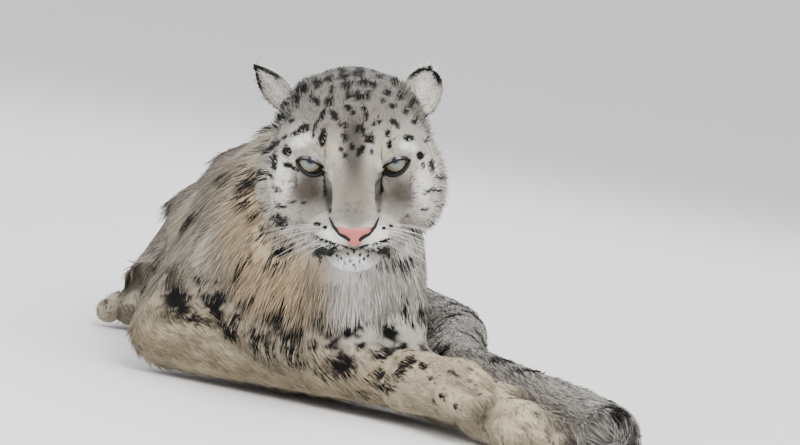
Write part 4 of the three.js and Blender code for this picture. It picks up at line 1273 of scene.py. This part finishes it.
def lidCurve(side, steps=56):
    s = 1 if side == "left" else -1
    path, sizes = [], []
    for n in range(steps):
        a = 2 * pi * n / steps
        u = eyeShape["halfWidth"] * cos(a)
        profile = max(1 - (u / eyeShape["halfWidth"]) ** 2, 0) ** 0.75
        w = (eyeShape["above"] if sin(a) > 0 else -eyeShape["below"]) * profile + eyeShape["slant"] * u
        radius = eyeShape["radius"] + 0.9
        y = -max(radius**2 - u * u - w * w, 9) ** 0.5
        path.append(tuple(fromHead(eyePlaces[side] + np.array([s * u, y, w]))))
        inner = max(0.0, -u / eyeShape["halfWidth"])
        sizes.append((1.0 + 0.9 * max(0, -sin(a)) + 0.9 * inner**3) / 1000)
    return path, sizes


for side in ("left", "right"):
    bm = bmesh.new()
    path, sizes = lidCurve(side)
    tubeAlong(bm, path, sizes)
    finishPiece(pieceFrom(bm, "lidRim" + side.capitalize()), darkSkinAndShade)
print("lid rims made")

# nose leather: pink in the middle, and dark round the nostrils as painted shade inside their openings
noseSettings = {"pink": (178, 102, 96), "dark": (24, 20, 20), "voxel": 0.0009, "nostril": 1.8}


def noseForm(p):
    return joined(
        [egg(p, (0, -77, -49), (14, 7, 5.5)), egg(p, (0, -78, -56), (8, 6.5, 8))]
        + [egg(p, (s * 11, -74, -50), (6, 7, 6)) for s in (-1, 1)],
        5,
    )


bm = bmesh.new()
bm.from_mesh(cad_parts["nose"].data)
bmesh.ops.remove_doubles(bm, verts=bm.verts, dist=1e-6)
nosePiece = pieceFrom(bm, "noseLeather")
applyRemesh(nosePiece, noseSettings["voxel"])
p, e = readMesh(nosePiece.data)
q = ontoForm(toHead(p), noseForm, -0.4)
# nostrils: commas that run outwards and up
nostrilPath = ((5.5, -84, -57), (10, -80, -54), (16, -74, -50), (22, -66, -44))
cut = np.full(len(q), 99.0)
flat = np.array([1, 0.35, 1])
for s in (-1, 1):
    for a, b in zip(nostrilPath[:-1], nostrilPath[1:]):
        ends = [np.array(end) * (s, 1, 1) * flat for end in (a, b)]
        cut = np.minimum(cut, lengthwise(q * flat, *ends, 0, 0))
push = 2.5 * (1 - step(0.5, noseSettings["nostril"], cut))
q = q + push[:, None] * np.array([0, 1, 0.2])
p = smoothed(fromHead(q), e, 2, 0.4)
writeMesh(nosePiece.data, p)
shadeSmooth(nosePiece.data)
# painted shade: the nostrils' dents are painted dark
pinkShare = step(0.9, 2.0, cut)
paint = tinted(colour(*noseSettings["dark"]), colour(*noseSettings["pink"]), pinkShare)
colourLayer(nosePiece.data, paint)
noseMaterial, nodes, links, shader = leatherMaterial(
    "noseLeather", colour(200, 150, 150), 0.38, 1100, 0.00025
)
noseLook = nodes.new("ShaderNodeVertexColor")
noseLook.layer_name = paintLayer
links.new(noseLook.outputs["Color"], shader.inputs["Base Color"])
finishPiece(nosePiece, noseMaterial)
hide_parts("nose")
# dark slits that sweep up and out from the middle of the lip round the wings of the nose, tubes of painted
# shade in these clefts
slitPath = (
    (0, -84, -67), (2.5, -85, -62.5), (8, -84, -58), (14, -79, -52), (18.5, -72, -46), (22, -64, -40)
)
slitSizes = (0.7, 1.2, 1.8, 2.1, 1.6, 0.6)
bm = bmesh.new()
for s in (-1, 1):
    path = np.array(slitPath, float) * np.array([s, 1, 1])
    path = ontoForm(path, lambda p: np.minimum(faceForm(p), noseForm(p) + 0.4), 0.4, 8)
    tubeAlong(bm, [tuple(v) for v in fromHead(path)], [r / 1000 for r in slitSizes], 8, closed=False)
finishPiece(pieceFrom(bm, "noseSlits"), darkSkinAndShade)
print("nose made")

# whiskers: stiff white hairs from the pads and over the eyes
whiskerSettings = {"length": (48, 82), "onBrow": 0.4, "thickness": 0.26, "rows": 3, "inRow": 5}
roots, lies = [], []
for s in (-1, 1):
    for row in range(whiskerSettings["rows"]):
        for n in range(whiskerSettings["inRow"]):
            roots.append((s * (24 + 4.2 * n), -70 + 4.5 * n, -50 - 5 * row))
            lies.append((s, -0.35 + 0.13 * n, -0.05 - 0.13 * row + 0.12 * chance.normal()))
    for n in range(2):
        roots.append((s * (38 + 4 * n), -8, 22))
        lies.append((s * (0.5 + 0.1 * n), -0.5, 0.7))
roots = ontoForm(np.array(roots, float), faceForm, 1.5, 8)
lies = unit(np.array(lies))
count = len(roots)
whiskerLength = chance.uniform(*whiskerSettings["length"], count) / 1000
whiskerLength = whiskerLength * np.where(roots[:, 2] > 0, whiskerSettings["onBrow"], 1)
whiskerNormal = unit(np.tile([[0, -0.6, 0.3]], (count, 1)) @ headTurn.T)
whiskerPatch = np.tile([[0.5, 0.5]], (count, 1)) + 0.2 * chance.random((count, 2))
growTufts(
    "whiskers", fromHead(roots), whiskerNormal, unit(lies @ headTurn.T), whiskerLength,
    np.full(count, whiskerSettings["thickness"] / 1000), np.radians(np.full(count, 8.0)),
    np.tile(colour(250, 250, 250), (count, 1)), whiskerPatch, 8, 0.35, rootPaintedShade=1.0, tipPaintedLight=1.0,
)

# plain pale floor, soft studio light
bm = bmesh.new()
bmesh.ops.create_grid(bm, x_segments=1, y_segments=1, size=40)
floor = pieceFrom(bm, "floor")
floor.data.materials.append(newMaterial("paleFloor", 0.9, Base_Color=(0.82, 0.82, 0.82, 1))[0])

world = bpy.data.worlds.new("softSky")
bpy.context.scene.world = world
world.use_nodes = True
world.node_tree.nodes["Background"].inputs["Color"].default_value = (0.97, 0.98, 1.0, 1)
world.node_tree.nodes["Background"].inputs["Strength"].default_value = 1.1


def softLight(name, place, size, power, tint=(1, 1, 1)):
    light = bpy.data.lights.new(name, "AREA")
    light.size = size
    light.energy = power
    light.color = tint
    lamp = bpy.data.objects.new(name, light)
    lamp.location = place
    lamp.rotation_euler = (Vector((0, 0, 0.15)) - Vector(place)).to_track_quat("-Z", "Y").to_euler()
    bpy.context.scene.collection.objects.link(lamp)


softLight("keyLight", (0.9, -2.2, 2.6), 2.2, 150, (1, 0.98, 0.95))
softLight("fillLight", (-2.4, -1.6, 1.6), 2.5, 56)
softLight("backLight", (0.6, 2.6, 2.2), 2.0, 60)

lens = bpy.data.cameras.new("camera")
lens.sensor_width = 36
lens.lens = camera["focalPixels"] / camera["frame"][0] * 36
lens.clip_end = 100
eyeView = bpy.data.objects.new("camera", lens)
turn = Matrix((across, upward, -ahead)).transposed()
eyeView.matrix_world = Matrix.Translation(Vector(cameraPlace)) @ turn.to_4x4()
bpy.context.scene.collection.objects.link(eyeView)
bpy.context.scene.camera = eyeView
